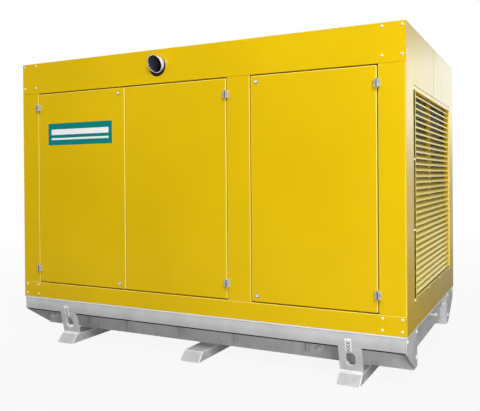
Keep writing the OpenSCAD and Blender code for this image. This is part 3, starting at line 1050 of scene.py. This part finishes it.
def latch_core():
    """The bright core of a quarter-turn latch, with a dished face."""
    return turned("core", [(0, 0), (0.0105, 0), (0.0105, 0.0040), (0.0096, 0.0056),
                           (0.0080, 0.0062), (0.0070, 0.0056), (0, 0.0054)], 32)


def latch_cam(x, z, up, flip):
    """The stem behind a latch and the cam that reaches behind the door stop."""
    back = (FRONT + 0.028) * flip
    stem = soften(rod("stem", (x, back, z), "Y", 0.007, 0.024 * flip, 20), 0.001)
    y = sorted((back + 0.014 * flip, back + 0.018 * flip))
    ends = sorted((z - 0.007 * up, z + 0.042 * up))
    return [stem, soften(block("cam", (x - 0.007, y[0], ends[0]), (x + 0.007, y[1], ends[1])),
                         0.0015, 3)]


class GENSET_OT_latches(bpy.types.Operator):
    """Turn the quarter-turn latches with their key slots and cams"""

    bl_idname = "genset.latches"
    bl_label = "Latches"

    def execute(self, context):
        for node, body, flip in (("door_1_latches", "door_1_leaf", 1),
                                 ("door_3_latches", "door_3_leaf", 1),
                                 ("rear_latches", BODY, -1)):
            spots = []
            sources = ("door_1_latches", "door_3_latches") if flip < 0 else (node,)
            for source in sources:
                low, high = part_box(source)
                x, r = (low.x + high.x) / 2, (high.x - low.x) / 2
                spots += [(x, low.z + r, 1), (x, high.z - r, -1)]
            seats = [seat((x, FRONT * flip, z), (0, -flip, 0)) for x, z, _ in spots]
            cores = repeated(node + "_cores", latch_core(), seats)
            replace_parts(cores, node)
            given(cores, body, "bolt")
            given(repeated(node + "_collars", latch_shade_collar(), seats), body, "machine")
            # A dark block on the face stands in for the key slot's shade: painted shade.
            slot = soften(block("slot", (-0.0032, -0.0008, 0.0050), (0.0032, 0.0008, 0.0057)),
                          0.0003)
            given(repeated(node + "_slots", slot, seats), body, "rubber")
            cams = [piece for x, z, up in spots for piece in latch_cam(x, z, up, flip)]
            given(joined(node + "_cams", cams), body, "zinc")
        return {"FINISHED"}


def dome_bolt(radius, height):
    """A washer and a domed head with a round drive."""
    washer = [(0, -0.0005), (radius, -0.0005), (radius, 0.0012)]
    head = [(share * radius, 0.0014 + rise * height) for share, rise in (
        (0.86, 0), (0.80, 0.35), (0.62, 0.8), (0.42, 1), (0.30, 1), (0.26, 0.5), (0, 0.5))]
    return turned("bolt", washer + head, 20)


def hex_bolt(radius, height):
    """A washer and a hexagon head."""
    washer = turned("washer", [(0, -0.0005), (1.15 * radius, -0.0005), (1.15 * radius, 0.002),
                               (1.0 * radius, 0.0025), (0, 0.0025)], 24)
    head = soften(rod("head", (0, 0, 0.002), "Z", radius, height, 6), 0.0012)
    return joined("hex", [washer, head])


class GENSET_OT_canopy_bolts(bpy.types.Operator):
    """Bolt the corners of the canopy and the louvre frames"""

    bl_idname = "genset.canopy_bolts"
    bl_label = "Canopy bolts"

    def execute(self, context):
        radius = context.scene.genset_sizes.bolt_head
        spots = []
        for y, out in ((FRONT, -1), (REAR, 1)):
            for side in (-1, 1):
                for z, outer in ((TOP - 0.022, 0.020), (TOP - 0.185, 0.022),
                                 (BASE + 0.094, 0.026), (BASE + 0.027, 0.028)):
                    for x in (outer, outer + 0.114):
                        spots.append(seat((side * (RIGHT - x), y, z), (0, out, 0)))
        given(repeated("corner_bolts", dome_bolt(radius, 0.0042), spots), BODY,
              "bolt")
        spots = []
        low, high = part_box("right_louvre_blades")
        rim = 0.014
        ys = [low.y - rim, low.y / 3, high.y / 3, high.y + rim]
        zs = [low.z - rim - 0.011, 0, 0, high.z + rim]
        zs[1], zs[2] = (2 * zs[0] + zs[3]) / 3, (zs[0] + 2 * zs[3]) / 3
        for x, out in ((RIGHT - 0.001, 1), (LEFT + 0.001, -1)):
            for i, y in enumerate(ys):
                for j, z in enumerate(zs):
                    if i in (0, 3) or j in (0, 3):
                        spots.append(seat((x, y, z), (out, 0, 0)))
        given(repeated("louvre_bolts", dome_bolt(0.82 * radius, 0.0050), spots), BODY,
              "bolt")
        return {"FINISHED"}


class GENSET_OT_film_panel(bpy.types.Operator):
    """Stick the plain film panel with its stripes on the first door"""

    bl_idname = "genset.film_panel"
    bl_label = "Film panel"

    def execute(self, context):
        low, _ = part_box("door_1")
        left, right = low.x + 0.0915, low.x + 0.6905
        bottom, top = BASE + 1.134, BASE + 1.293
        for name, box, finish, lift in (
            ("film_panel", (left, bottom, right, top), "panel", 0.0008),
            ("film_stripe_wide", (left + 0.03, bottom + 0.075, right - 0.03, bottom + 0.115),
             "white", 0.0011),
            ("film_stripe_slim", (left + 0.03, bottom + 0.038, right - 0.03, bottom + 0.052),
             "white", 0.0011),
        ):
            film = block(name, (box[0], FRONT - lift, box[1]), (box[2], FRONT, box[3]))
            pick(film, "edges", lambda e: abs(e.verts[0].co.y - e.verts[1].co.y) > 1e-5)
            bpy.ops.mesh.bevel(offset=0.006, segments=5)
            done()
            given(soften(film, 0.0003), "door_1_leaf", finish)
        return {"FINISHED"}


# ---------------------------------------------------------------- sled

def face_at(z):
    """How far out the front rail and lugs stand at a height."""
    low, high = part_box("front_rail")
    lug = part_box("front_left_lug")
    bend = high.z - RAIL_BEND
    slope = (lug[0].y - low.y) / (bend - lug[1].z)
    return low.y if z > bend else low.y + (bend - z) * slope


def highlight_edges(piece, width):
    """Gives the narrow faces along the edges of a steel piece the nearly white paint of a
    painted highlight.
    """
    piece.data.materials.append(FINISHES["edge"])
    co = [v.co for v in piece.data.vertices]
    for face in piece.data.polygons:
        rim = sum((co[a] - co[b]).length for a, b in face.edge_keys)
        if 2 * face.area / rim < width:
            face.material_index = 1
    return piece


def rail_shade_strip(turn):
    """A dark strip under the lower edge of a side rail, between its lugs, as painted shade; the
    front one has turn 1.
    """
    low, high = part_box("front_rail")
    ends = [low.x + 0.002]
    for lug in ("front_left_lug", "front_right_lug"):
        ends += [corner.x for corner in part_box(lug)]
    ends.append(high.x - 0.002)
    y = span(turn, face_at(low.z) + 0.003, face_at(low.z) + 0.016)
    return [soften(block("lip", (left, y[0], low.z - 0.007), (right, y[1], low.z + 0.001)),
                   0.001) for left, right in zip(ends[::2], ends[1::2])]


class GENSET_OT_sled(bpy.types.Operator):
    """Round the edges of the rails, beams, feet, lugs and deck"""

    bl_idname = "genset.sled"
    bl_label = "Sled frame"

    def execute(self, context):
        edge = context.scene.genset_sizes.steel_edge
        for side in ("front", "rear"):
            rail = cad_copy(f"{side}_rail_steel", f"{side}_rail")
            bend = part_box(f"{side}_rail")[1].z - RAIL_BEND
            pick(rail, "edges", lambda e: all(
                abs(v.co.z - bend) < 0.002 and abs(v.co.y) > 0.80 for v in e.verts))
            bpy.ops.mesh.bevel(offset=0.016, segments=4)
            done()
            given(soften(rail, edge * 1.6, 3), BODY, "frame")
        nodes = ["front_main_beam", "rear_main_beam", "left_crossbeam", "right_crossbeam",
                 "rail_brackets", "left_foot", "middle_foot", "right_foot", "deck"]
        for end in ("left", "right"):
            for side in ("front", "rear"):
                nodes += [f"{side}_{end}_end_plate", f"{side}_{end}_lug"]
        for node in nodes:
            width = edge * (1.6 if "foot" in node else 0.8 if "bracket" in node else 1)
            # The main beams take the lighter copy of the frame paint: painted light.
            paint = "beam" if "main_beam" in node else "frame"
            steel = given(soften(cad_copy(node + "_steel", node), width, 3), BODY, paint)
            # Feet, lugs and deck get nearly white edges: a painted highlight.
            if "foot" in node or "lug" in node:
                highlight_edges(steel, 0.0045)
            elif node == "deck":
                highlight_edges(steel, 0.0110)
        # Dark strips under the rails: painted shade.
        for side, turn in (("front", 1), ("rear", -1)):
            given(joined(side + "_rail_lip", rail_shade_strip(turn)), BODY, "rubber")
        return {"FINISHED"}


class GENSET_OT_welds(bpy.types.Operator):
    """Run the weld beads along the tops of the feet and the lower ends of the lugs"""

    bl_idname = "genset.welds"
    bl_label = "Weld beads"

    def execute(self, context):
        rng = random.Random(7)
        runs = []
        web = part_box("front_main_beam")
        for foot in ("left_foot", "middle_foot", "right_foot"):
            low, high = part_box(foot)
            for y in (web[0].y, -web[0].y, web[1].y, -web[1].y):
                runs.append((low.x + 0.004, high.x - 0.004, y, high.z, 0.0045))
        for lug in ("front_left_lug", "front_right_lug"):
            low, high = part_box(lug)
            z = low.z + 0.003
            for y in (face_at(z), -face_at(z)):
                runs.append((low.x + 0.003, high.x - 0.003, y, z, 0.0065))
        beads = []
        for start, end, y, z, size in runs:
            bead = rod("bead", (start, y, z), "X", size, end - start, 10)
            cut(bead, "X", [start + (end - start) * i / RIPPLES for i in range(1, RIPPLES)])
            swell = {}
            for v in bead.data.vertices:
                key = round(v.co.x, 4)
                swell.setdefault(key, rng.uniform(0.8, 1.25))
                v.co.y = y + (v.co.y - y) * swell[key]
                v.co.z = z + (v.co.z - z) * swell[key]
            bpy.ops.object.shade_smooth_by_angle(angle=math.radians(50))
            beads.append(bead)
        # The beads take the nearly white edge paint: a painted highlight.
        given(joined("foot_welds", beads), BODY, "edge")
        return {"FINISHED"}


class GENSET_OT_sling_marks(bpy.types.Operator):
    """Stick a white strip with three plain rings above each lifting hole"""

    bl_idname = "genset.sling_marks"
    bl_label = "Sling marks"

    def execute(self, context):
        strips, rings = [], []
        for lug in ("front_left_lug", "front_right_lug"):
            low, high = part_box(lug)
            middle = (low.x + high.x) / 2 - 0.007
            bottom, top = BASE - 0.120, BASE - 0.043
            bpy.ops.object.select_all(action="DESELECT")
            bpy.ops.mesh.primitive_grid_add(x_subdivisions=6, y_subdivisions=22, size=1)
            strip = named("strip")
            for v in strip.data.vertices:
                z = bottom + (v.co.y + 0.5) * (top - bottom)
                v.co = (middle + v.co.x * 0.040, face_at(z) - 0.0013, z)
            everything(strip)
            bpy.ops.mesh.extrude_region_move(TRANSFORM_OT_translate={"value": (0, 0.001, 0)})
            bpy.ops.mesh.select_all(action="SELECT")
            bpy.ops.mesh.normals_make_consistent(inside=False)
            done()
            strips.append(strip)
            for i in range(3):
                z = bottom + 0.018 + i * 0.0205
                bpy.ops.object.select_all(action="DESELECT")
                bpy.ops.mesh.primitive_torus_add(
                    major_radius=0.0085, minor_radius=0.0022, major_segments=24,
                    minor_segments=8, location=(middle, face_at(z) - 0.0014, z),
                    rotation=(math.pi / 2, 0, 0))
                bpy.context.active_object.scale = (1.0, 1.35, 0.35)
                rings.append(named("ring"))
                bpy.ops.object.shade_smooth_by_angle(angle=math.radians(60))
        for group, name, finish in ((strips, "sling_mark_strips", "white"),
                                    (rings, "sling_mark_rings", "machine")):
            front = joined(name, group)
            mirror = linked(name, front.data.copy())
            mirror.data.transform(Matrix.Scale(-1, 4, (0, 1, 0)))
            everything(mirror)
            bpy.ops.mesh.normals_make_consistent(inside=False)
            done()
            given(joined(name, [front, mirror]), BODY, finish)
        return {"FINISHED"}


class GENSET_OT_sled_bolts(bpy.types.Operator):
    """Bolt the end plates, beams and feet"""

    bl_idname = "genset.sled_bolts"
    bl_label = "Sled bolts"

    def execute(self, context):
        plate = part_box("front_right_end_plate")
        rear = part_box("rear_right_end_plate")
        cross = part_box("right_crossbeam")
        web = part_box("front_main_beam")[0].y
        big, proud, small, long = [], [], [], []
        for turn in (1, -1):
            for x, out in ((plate[1].x, 1), (-plate[1].x, -1)):
                for y, z in ((FRONT + 0.022, BASE - 0.030), (FRONT + 0.256, BASE - 0.029),
                             (FRONT + 0.252, BASE - 0.181)):
                    proud.append(seat((x, y * turn, z), (out, 0, 0)))
            for x in (0.862, -1.385):
                long.append(seat((x, web * turn, BASE - 0.188), (0, -turn, 0)))
            big.append(seat((cross[1].x, 0.444 * turn, BASE - 0.067), (1, 0, 0)))
            for side in (-1, 1):
                for x, z in ((0.032, BASE - 0.090), (0.026, BASE - 0.032)):
                    big.append(seat((side * (rear[1].x - x), rear[0].y * turn, z),
                                    (0, -turn, 0)))
            for foot in ("left_foot", "middle_foot", "right_foot"):
                low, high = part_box(foot)
                for x in (low.x - 0.03, high.x + 0.03):
                    small.append(seat((x, web * turn, high.z + 0.018), (0, -turn, 0)))
        for name, bolt, size, places, finish in (
            ("sled_bolts", hex_bolt, (0.0150, 0.010), big, "chrome"),
            ("end_bolts", dome_bolt, (0.0165, 0.0045), proud, "chrome"),
            ("web_bolts", hex_bolt, (0.0170, 0.028), long, "chrome"),
            ("foot_bolts", hex_bolt, (0.008, 0.006), small, "zinc"),
        ):
            given(repeated(name, bolt(*size), places), BODY, finish)
        return {"FINISHED"}


class GENSET_OT_drain(bpy.types.Operator):
    """Turn the drain rod with its flange and rounded plug"""

    bl_idname = "genset.drain"
    bl_label = "Drain rod"

    def execute(self, context):
        low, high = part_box("drain_plug")
        y, z = (low.y + high.y) / 2, (low.z + high.z) / 2
        r = (high.y - low.y) / 2
        reach = high.x - low.x
        stem = turned("drain_rod", [
            (0, 0), (r * 1.25, 0), (r * 1.25, 0.003), (r * 0.82, 0.005),
            (r * 0.82, reach * 0.7), (r * 0.95, reach * 0.74), (r, reach * 0.78),
            (r, reach * 0.94), (r * 0.8, reach * 0.985), (0, reach)], 28)
        stem.data.transform(seat((low.x, y, z), (1, 0, 0)))
        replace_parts(stem, "drain_plug")
        given(stem, BODY, "bolt")
        return {"FINISHED"}


# ---------------------------------------------------------------- exhaust

def exhaust_lip(x, y, z, r):
    """The rolled lip along the slanted mouth of the pipe; y is its foremost point."""
    bpy.ops.object.select_all(action="DESELECT")
    bpy.ops.mesh.primitive_torus_add(
        major_radius=r - 0.0015, minor_radius=0.0024, major_segments=96,
        minor_segments=14, location=(x, y + MOUTH_SLANT / 2, z), rotation=(math.pi / 2, 0, 0))
    lip = named("exhaust_lip")
    slope = MOUTH_SLANT / (2 * r)
    for v in lip.data.vertices:
        v.co.y -= (v.co.z - z) * slope * 0.98
        v.co.y += 0.0035
    bpy.ops.object.shade_smooth_by_angle(angle=math.radians(60))
    return lip


def exhaust_plate(r):
    """A sleeve through the canopy with a flat flange on its face."""
    return turned("exhaust_plate", [
        (r + 0.001, -0.030), (r + 0.001, 0.001), (r + 0.021, 0.001), (r + 0.0215, 0.0006),
        (r + 0.0215, -0.0004), (r + 0.003, -0.0004), (r + 0.003, -0.030),
        (r + 0.001, -0.030)], 96)


def exhaust_boot(r):
    """A rubber boot whose skirt sags to the left and below the pipe, so that its black shows as
    painted shade in the gap below the pipe.
    """
    boot = turned("exhaust_boot", [
        (r + 0.0004, 0.0005), (r + 0.0004, 0.006), (r + 0.0010, 0.0065),
        (r + 0.0098, 0.0030), (r + 0.0105, 0.0020), (r + 0.0105, 0.0005),
        (r + 0.0004, 0.0005)], 96)
    for v in boot.data.vertices:
        if math.hypot(v.co.x, v.co.y) > r + 0.005:
            v.co.x -= 0.0020
            v.co.y -= 0.0105
    return boot


class GENSET_OT_exhaust(bpy.types.Operator):
    """Finish the exhaust pipe with a rolled lip, sooty bore, flange and a rubber boot whose
    black skirt is painted shade below the pipe
    """

    bl_idname = "genset.exhaust"
    bl_label = "Exhaust"

    def execute(self, context):
        low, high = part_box("exhaust_pipe")
        x, z = (low.x + high.x) / 2, (low.z + high.z) / 2
        r = (high.x - low.x) / 2
        pipe = soften(cad_copy("exhaust_pipe_steel", "exhaust_pipe"), 0.0006)
        given(pipe, BODY, "pipe")
        pipe.data.materials.append(FINISHES["soot"])
        for face in pipe.data.polygons:
            away = math.hypot(face.center.x - x, face.center.z - z)
            if away < r - 0.0016 and abs(face.normal.y) < 0.3:
                face.material_index = 1
        # The lip takes the nearly white edge paint: a painted highlight.
        given(exhaust_lip(x, low.y, z, r), BODY, "edge")
        outward = Matrix.Translation((x, FRONT, z)) @ Matrix.Rotation(math.pi / 2, 4, "X")
        plate, boot = exhaust_plate(r), exhaust_boot(r)
        for piece in (plate, boot):
            piece.data.transform(outward)
        given(boot, BODY, "rubber")
        given(plate, BODY, "canopy")
        return {"FINISHED"}


class GENSET_OT_silencer(bpy.types.Operator):
    """Round the ends of the silencer and band it"""

    bl_idname = "genset.silencer"
    bl_label = "Silencer"

    def execute(self, context):
        low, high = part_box("silencer")
        given(soften(cad_copy("silencer_shell", "silencer"), 0.004, 3), BODY,
              "machine")
        r = 0.1  # of the silencer's shell
        y, z = high.y - r, low.z + r
        bands = []
        for x in (low.x + 0.09, low.x + 0.41, high.x - 0.45, high.x - 0.12):
            band = turned("band", [(r - 0.001, 0), (r + 0.004, 0), (r + 0.004, 0.03),
                                   (r - 0.001, 0.03), (r - 0.001, 0)], 48)
            band.data.transform(seat((x, y, z), (1, 0, 0)))
            bands.append(band)
        given(joined("silencer_bands", bands), BODY, "zinc")
        return {"FINISHED"}


# ---------------------------------------------------------------- machinery

def engine_covers(low, high):
    """A rocker cover on each cylinder and a pressed cover on each side below it."""
    covers, panels = [], []
    for i in range(CYLINDERS):
        x = low.x + 0.092 + i * CYLINDER_PITCH
        covers.append(soften(block("cover", (x, -0.115, high.z),
                                   (x + 0.118, 0.115, high.z + 0.05)), 0.016, 4))
        for turn in (1, -1):
            y = span(turn, BLOCK_SIDE, BLOCK_SIDE - 0.014)
            panels.append(pressed_panel(
                "panel", (x, y[0], BASE + 0.34), (x + 0.118, y[1], BASE + 0.68), "Y", -turn,
                border=0.016, slant=0.006, depth=0.006, edge=0.003))
    given(joined("rocker_covers", covers), BODY, "zinc")
    given(joined("crankcase_covers", panels), BODY, "machine")


def engine_side_gear(low):
    """The oil filters and the starter motor with its solenoid."""
    filters = []
    for x in (low.x + 0.32, low.x + 0.45):
        can = turned("filter", [(0, 0), (0.036, 0.002), (0.048, 0.014), (0.050, 0.03),
                                (0.050, 0.185), (0.046, 0.195), (0.040, 0.20),
                                (0.040, 0.215), (0, 0.215)], 40)
        can.data.transform(Matrix.Translation((x, BLOCK_SIDE - 0.066, BASE + 0.20)))
        filters.append(can)
    given(joined("oil_filters", filters), BODY, "white")
    starter = [soften(rod("starter", (low.x + 0.06, BLOCK_SIDE - 0.075, BASE + 0.36), "X",
                          0.056, 0.26, 40), 0.008, 3),
               soften(rod("solenoid", (low.x + 0.10, BLOCK_SIDE - 0.085, BASE + 0.445), "X",
                          0.028, 0.15, 28), 0.005, 3)]
    given(joined("starter_motor", starter), BODY, "machine")


def engine_manifold(low):
    """The exhaust manifold, with a stub and a flange at each cylinder, and the turbo."""
    log = BASE + 0.89
    pipes = [soften(rod("log", (low.x + 0.10, HEAD_SIDE - 0.09, log), "X", 0.042, 0.76, 36),
                    0.01, 3)]
    for i in range(CYLINDERS):
        x = low.x + 0.15 + i * CYLINDER_PITCH
        pipes.append(rod("stub", (x, HEAD_SIDE, log), "Y", 0.026, -0.09, 24))
        pipes.append(soften(block("flange", (x - 0.04, HEAD_SIDE - 0.014, BASE + 0.85),
                                  (x + 0.04, HEAD_SIDE, BASE + 0.93)), 0.006, 3))
    given(joined("exhaust_manifold", pipes), BODY, "soot")
    volute = turned("turbo", [(0, -0.05), (0.05, -0.05), (0.055, -0.03), (0.10, -0.028),
                              (0.112, 0), (0.10, 0.028), (0.055, 0.03), (0.05, 0.07),
                              (0.06, 0.074), (0.09, 0.078), (0.098, 0.10), (0.088, 0.122),
                              (0.045, 0.124), (0.04, 0.15), (0, 0.15)], 48)
    volute.data.transform(seat((low.x + 0.52, HEAD_SIDE - 0.10, BASE + 1.04), (1, 0, 0)))
    given(volute, BODY, "core")


def engine_riser(low):
    """The corrugated pipe from the turbo up into the silencer."""
    start = BASE + 1.12
    wave = [(0.046, 0)]
    for i in range(16):
        z = 0.10 + i * 0.011
        wave += [(0.046, z), (0.053, z + 0.0035), (0.053, z + 0.0055), (0.046, z + 0.009)]
    wave += [(0.046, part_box("silencer")[0].z - start + 0.02)]
    riser = turned("exhaust_riser", wave + [(0.042, wave[-1][1]), (0.042, 0), (0.046, 0)], 36)
    riser.data.transform(Matrix.Translation((low.x + 0.50, HEAD_SIDE - 0.19, start)))
    given(riser, BODY, "pipe")


def air_cleaner(low):
    """The air cleaner canister with its clamp ring and outlet."""
    cleaner = turned("air_cleaner", [(0, 0), (0.10, 0), (0.118, 0.01), (0.122, 0.03),
                                     (0.122, 0.06), (0.128, 0.066), (0.128, 0.08),
                                     (0.122, 0.086), (0.122, 0.40), (0.112, 0.43),
                                     (0.06, 0.45), (0.06, 0.52), (0, 0.52)], 48)
    cleaner.data.transform(seat((low.x + 0.16, 0.30, BASE + 0.93), (1, 0, 0)))
    given(cleaner, BODY, "rubber")


class GENSET_OT_engine(bpy.types.Operator):
    """Dress the engine block with covers, filters, manifold and turbocharger"""

    bl_idname = "genset.engine"
    bl_label = "Engine"

    def execute(self, context):
        low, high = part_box("engine")
        given(soften(cad_copy("engine_block", "engine"), 0.008, 3), BODY,
              "machine")
        engine_covers(low, high)
        engine_side_gear(low)
        engine_manifold(low)
        engine_riser(low)
        air_cleaner(low)
        return {"FINISHED"}


class GENSET_OT_alternator(bpy.types.Operator):
    """Fin the alternator and add its fan cover and terminal box"""

    bl_idname = "genset.alternator"
    bl_label = "Alternator"

    def execute(self, context):
        low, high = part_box("alternator")
        r = -low.y
        z = high.z - r
        given(soften(cad_copy("alternator_frame", "alternator"), 0.010, 3), BODY,
              "machine")
        fin = soften(block("fin", (low.x + 0.10, -0.004, r - 0.003),
                           (high.x - 0.12, 0.004, r + 0.016)), 0.0015)
        turns = [Matrix.Translation((0, 0, z)) @ Matrix.Rotation(math.radians(a), 4, "X")
                 for a in range(-120, 121, 8)]
        given(repeated("alternator_fins", fin, turns), BODY, "machine")
        cover = turned("cover", [(0, -0.035), (0.10, -0.035), (0.13, -0.03), (0.20, -0.02),
                                 (0.235, 0.002), (0.20, -0.004), (0, -0.004)], 56)
        cover.data.transform(Matrix.Translation((low.x - 0.005, 0, z))
                             @ Matrix.Rotation(math.pi / 2, 4, "Y"))
        given(cover, BODY, "zinc")
        box = block("terminal_box", (low.x + 0.13, -0.19, high.z - 0.02),
                    (high.x - 0.16, 0.19, high.z + 0.17))
        pick(box, "faces", looks("Z", 1))
        bpy.ops.mesh.inset(thickness=0.02)
        bpy.ops.mesh.extrude_region_move(TRANSFORM_OT_translate={"value": (0, 0, 0.012)})
        done()
        given(soften(box, 0.004, 3), BODY, "machine")
        return {"FINISHED"}


class GENSET_OT_cooling(bpy.types.Operator):
    """Build the radiator's tanks, frame and baffles, the fan and its shroud"""

    bl_idname = "genset.cooling"
    bl_label = "Cooling"

    def execute(self, context):
        low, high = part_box("radiator")
        core = soften(cad_copy("radiator_core", "radiator"), 0.003)
        given(core, BODY, "core")
        tanks = []
        for z in ((low.z, low.z + 0.11), (high.z - 0.13, high.z + 0.01)):
            tanks.append(soften(block("tank", (low.x - 0.014, low.y - 0.012, z[0]),
                                      (high.x + 0.012, high.y + 0.012, z[1])), 0.014, 4))
        for y in ((low.y - 0.016, low.y + 0.03), (high.y - 0.03, high.y + 0.016)):
            tanks.append(soften(block("side", (low.x - 0.012, y[0], low.z + 0.02),
                                      (high.x + 0.010, y[1], high.z - 0.02)), 0.004, 3))
        given(joined("radiator_tanks", tanks), BODY, "machine")
        x = (high.x - 0.024, high.x - 0.016)
        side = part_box("front_top_beam")[1].y + 0.012
        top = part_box("roof")[0].z - 0.004
        baffles = [pressed_panel("baffle", (x[0], side, high.z + 0.012), (x[1], -side, top),
                                 "X", 1)]
        for turn in (1, -1):
            y = span(turn, low.y - 0.018, side)
            baffles.append(pressed_panel("baffle", (x[0], y[0], low.z + 0.002),
                                         (x[1], y[1], high.z + 0.011), "X", 1))
        # The baffles take the same nearly white paint as the edge highlights.
        given(joined("radiator_baffles", baffles), BODY, "edge")
        z = (low.z + high.z) / 2
        shroud = turned("fan_shroud", [(0.40, 0), (0.44, 0), (0.53, 0.075), (0.53, 0.085),
                                       (0.515, 0.085), (0.43, 0.010), (0.40, 0.008),
                                       (0.40, 0)], 72)
        shroud.data.transform(seat((low.x - 0.088, 0, z), (1, 0, 0)))
        given(shroud, BODY, "machine")
        engine_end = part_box("engine")[1].x
        hub = turned("hub", [(0, 0), (0.07, 0), (0.075, 0.01), (0.075, 0.05), (0.10, 0.055),
                             (0.10, 0.085), (0.07, 0.10), (0, 0.10)], 40)
        hub.data.transform(seat((engine_end - 0.01, 0, z), (1, 0, 0)))
        blade = block("blade", (-0.0035, -0.055, 0.09), (0.0035, 0.055, 0.37))
        for v in blade.data.vertices:
            twist = 0.75 - 0.9 * v.co.z
            v.co = Matrix.Rotation(twist, 3, "Z") @ v.co
        soften(blade, 0.0025, 3)
        count = context.scene.genset_sizes.fan_blades
        turns = [Matrix.Translation((engine_end + 0.065, 0, z))
                 @ Matrix.Rotation(math.tau * i / count, 4, "X") for i in range(count)]
        blades = repeated("fan_blades", blade, turns)
        given(joined("cooling_fan", [hub, blades]), BODY, "rubber")
        return {"FINISHED"}


class GENSET_PT_panel(bpy.types.Panel):
    """Lists the pieces and their settings"""

    bl_idname = "GENSET_PT_panel"
    bl_label = "Generating Set"
    bl_space_type = "VIEW_3D"
    bl_region_type = "UI"
    bl_category = "Generating Set"

    def draw(self, context):
        for group in (context.scene.genset_colours, context.scene.genset_sizes,
                      context.scene.genset_stage):
            box = self.layout.box()
            for name in group.__annotations__:
                box.prop(group, name)
        for operator in OPERATORS:
            self.layout.operator(operator.bl_idname)


GROUPS = (GENSET_PG_colours, GENSET_PG_sizes, GENSET_PG_stage)
OPERATORS = (
    GENSET_OT_stage, GENSET_OT_sheets, GENSET_OT_ends, GENSET_OT_doors, GENSET_OT_door_stops,
    GENSET_OT_hinges, GENSET_OT_latches, GENSET_OT_canopy_bolts, GENSET_OT_film_panel,
    GENSET_OT_sled, GENSET_OT_welds, GENSET_OT_sling_marks, GENSET_OT_sled_bolts,
    GENSET_OT_drain, GENSET_OT_exhaust, GENSET_OT_silencer, GENSET_OT_engine,
    GENSET_OT_alternator, GENSET_OT_cooling,
)


def register():
    for cls in (*GROUPS, *OPERATORS, GENSET_PT_panel):
        bpy.utils.register_class(cls)
    bpy.types.Scene.genset_colours = PointerProperty(type=GENSET_PG_colours)
    bpy.types.Scene.genset_sizes = PointerProperty(type=GENSET_PG_sizes)
    bpy.types.Scene.genset_stage = PointerProperty(type=GENSET_PG_stage)


def unregister():
    del bpy.types.Scene.genset_stage
    del bpy.types.Scene.genset_sizes
    del bpy.types.Scene.genset_colours
    for cls in reversed((*GROUPS, *OPERATORS, GENSET_PT_panel)):
        bpy.utils.unregister_class(cls)


def main():
    register()
    make_finishes()
    for operator in OPERATORS:
        group, name = operator.bl_idname.split(".")
        getattr(getattr(bpy.ops, group), name)()


if __name__ == "__main__":
    main()
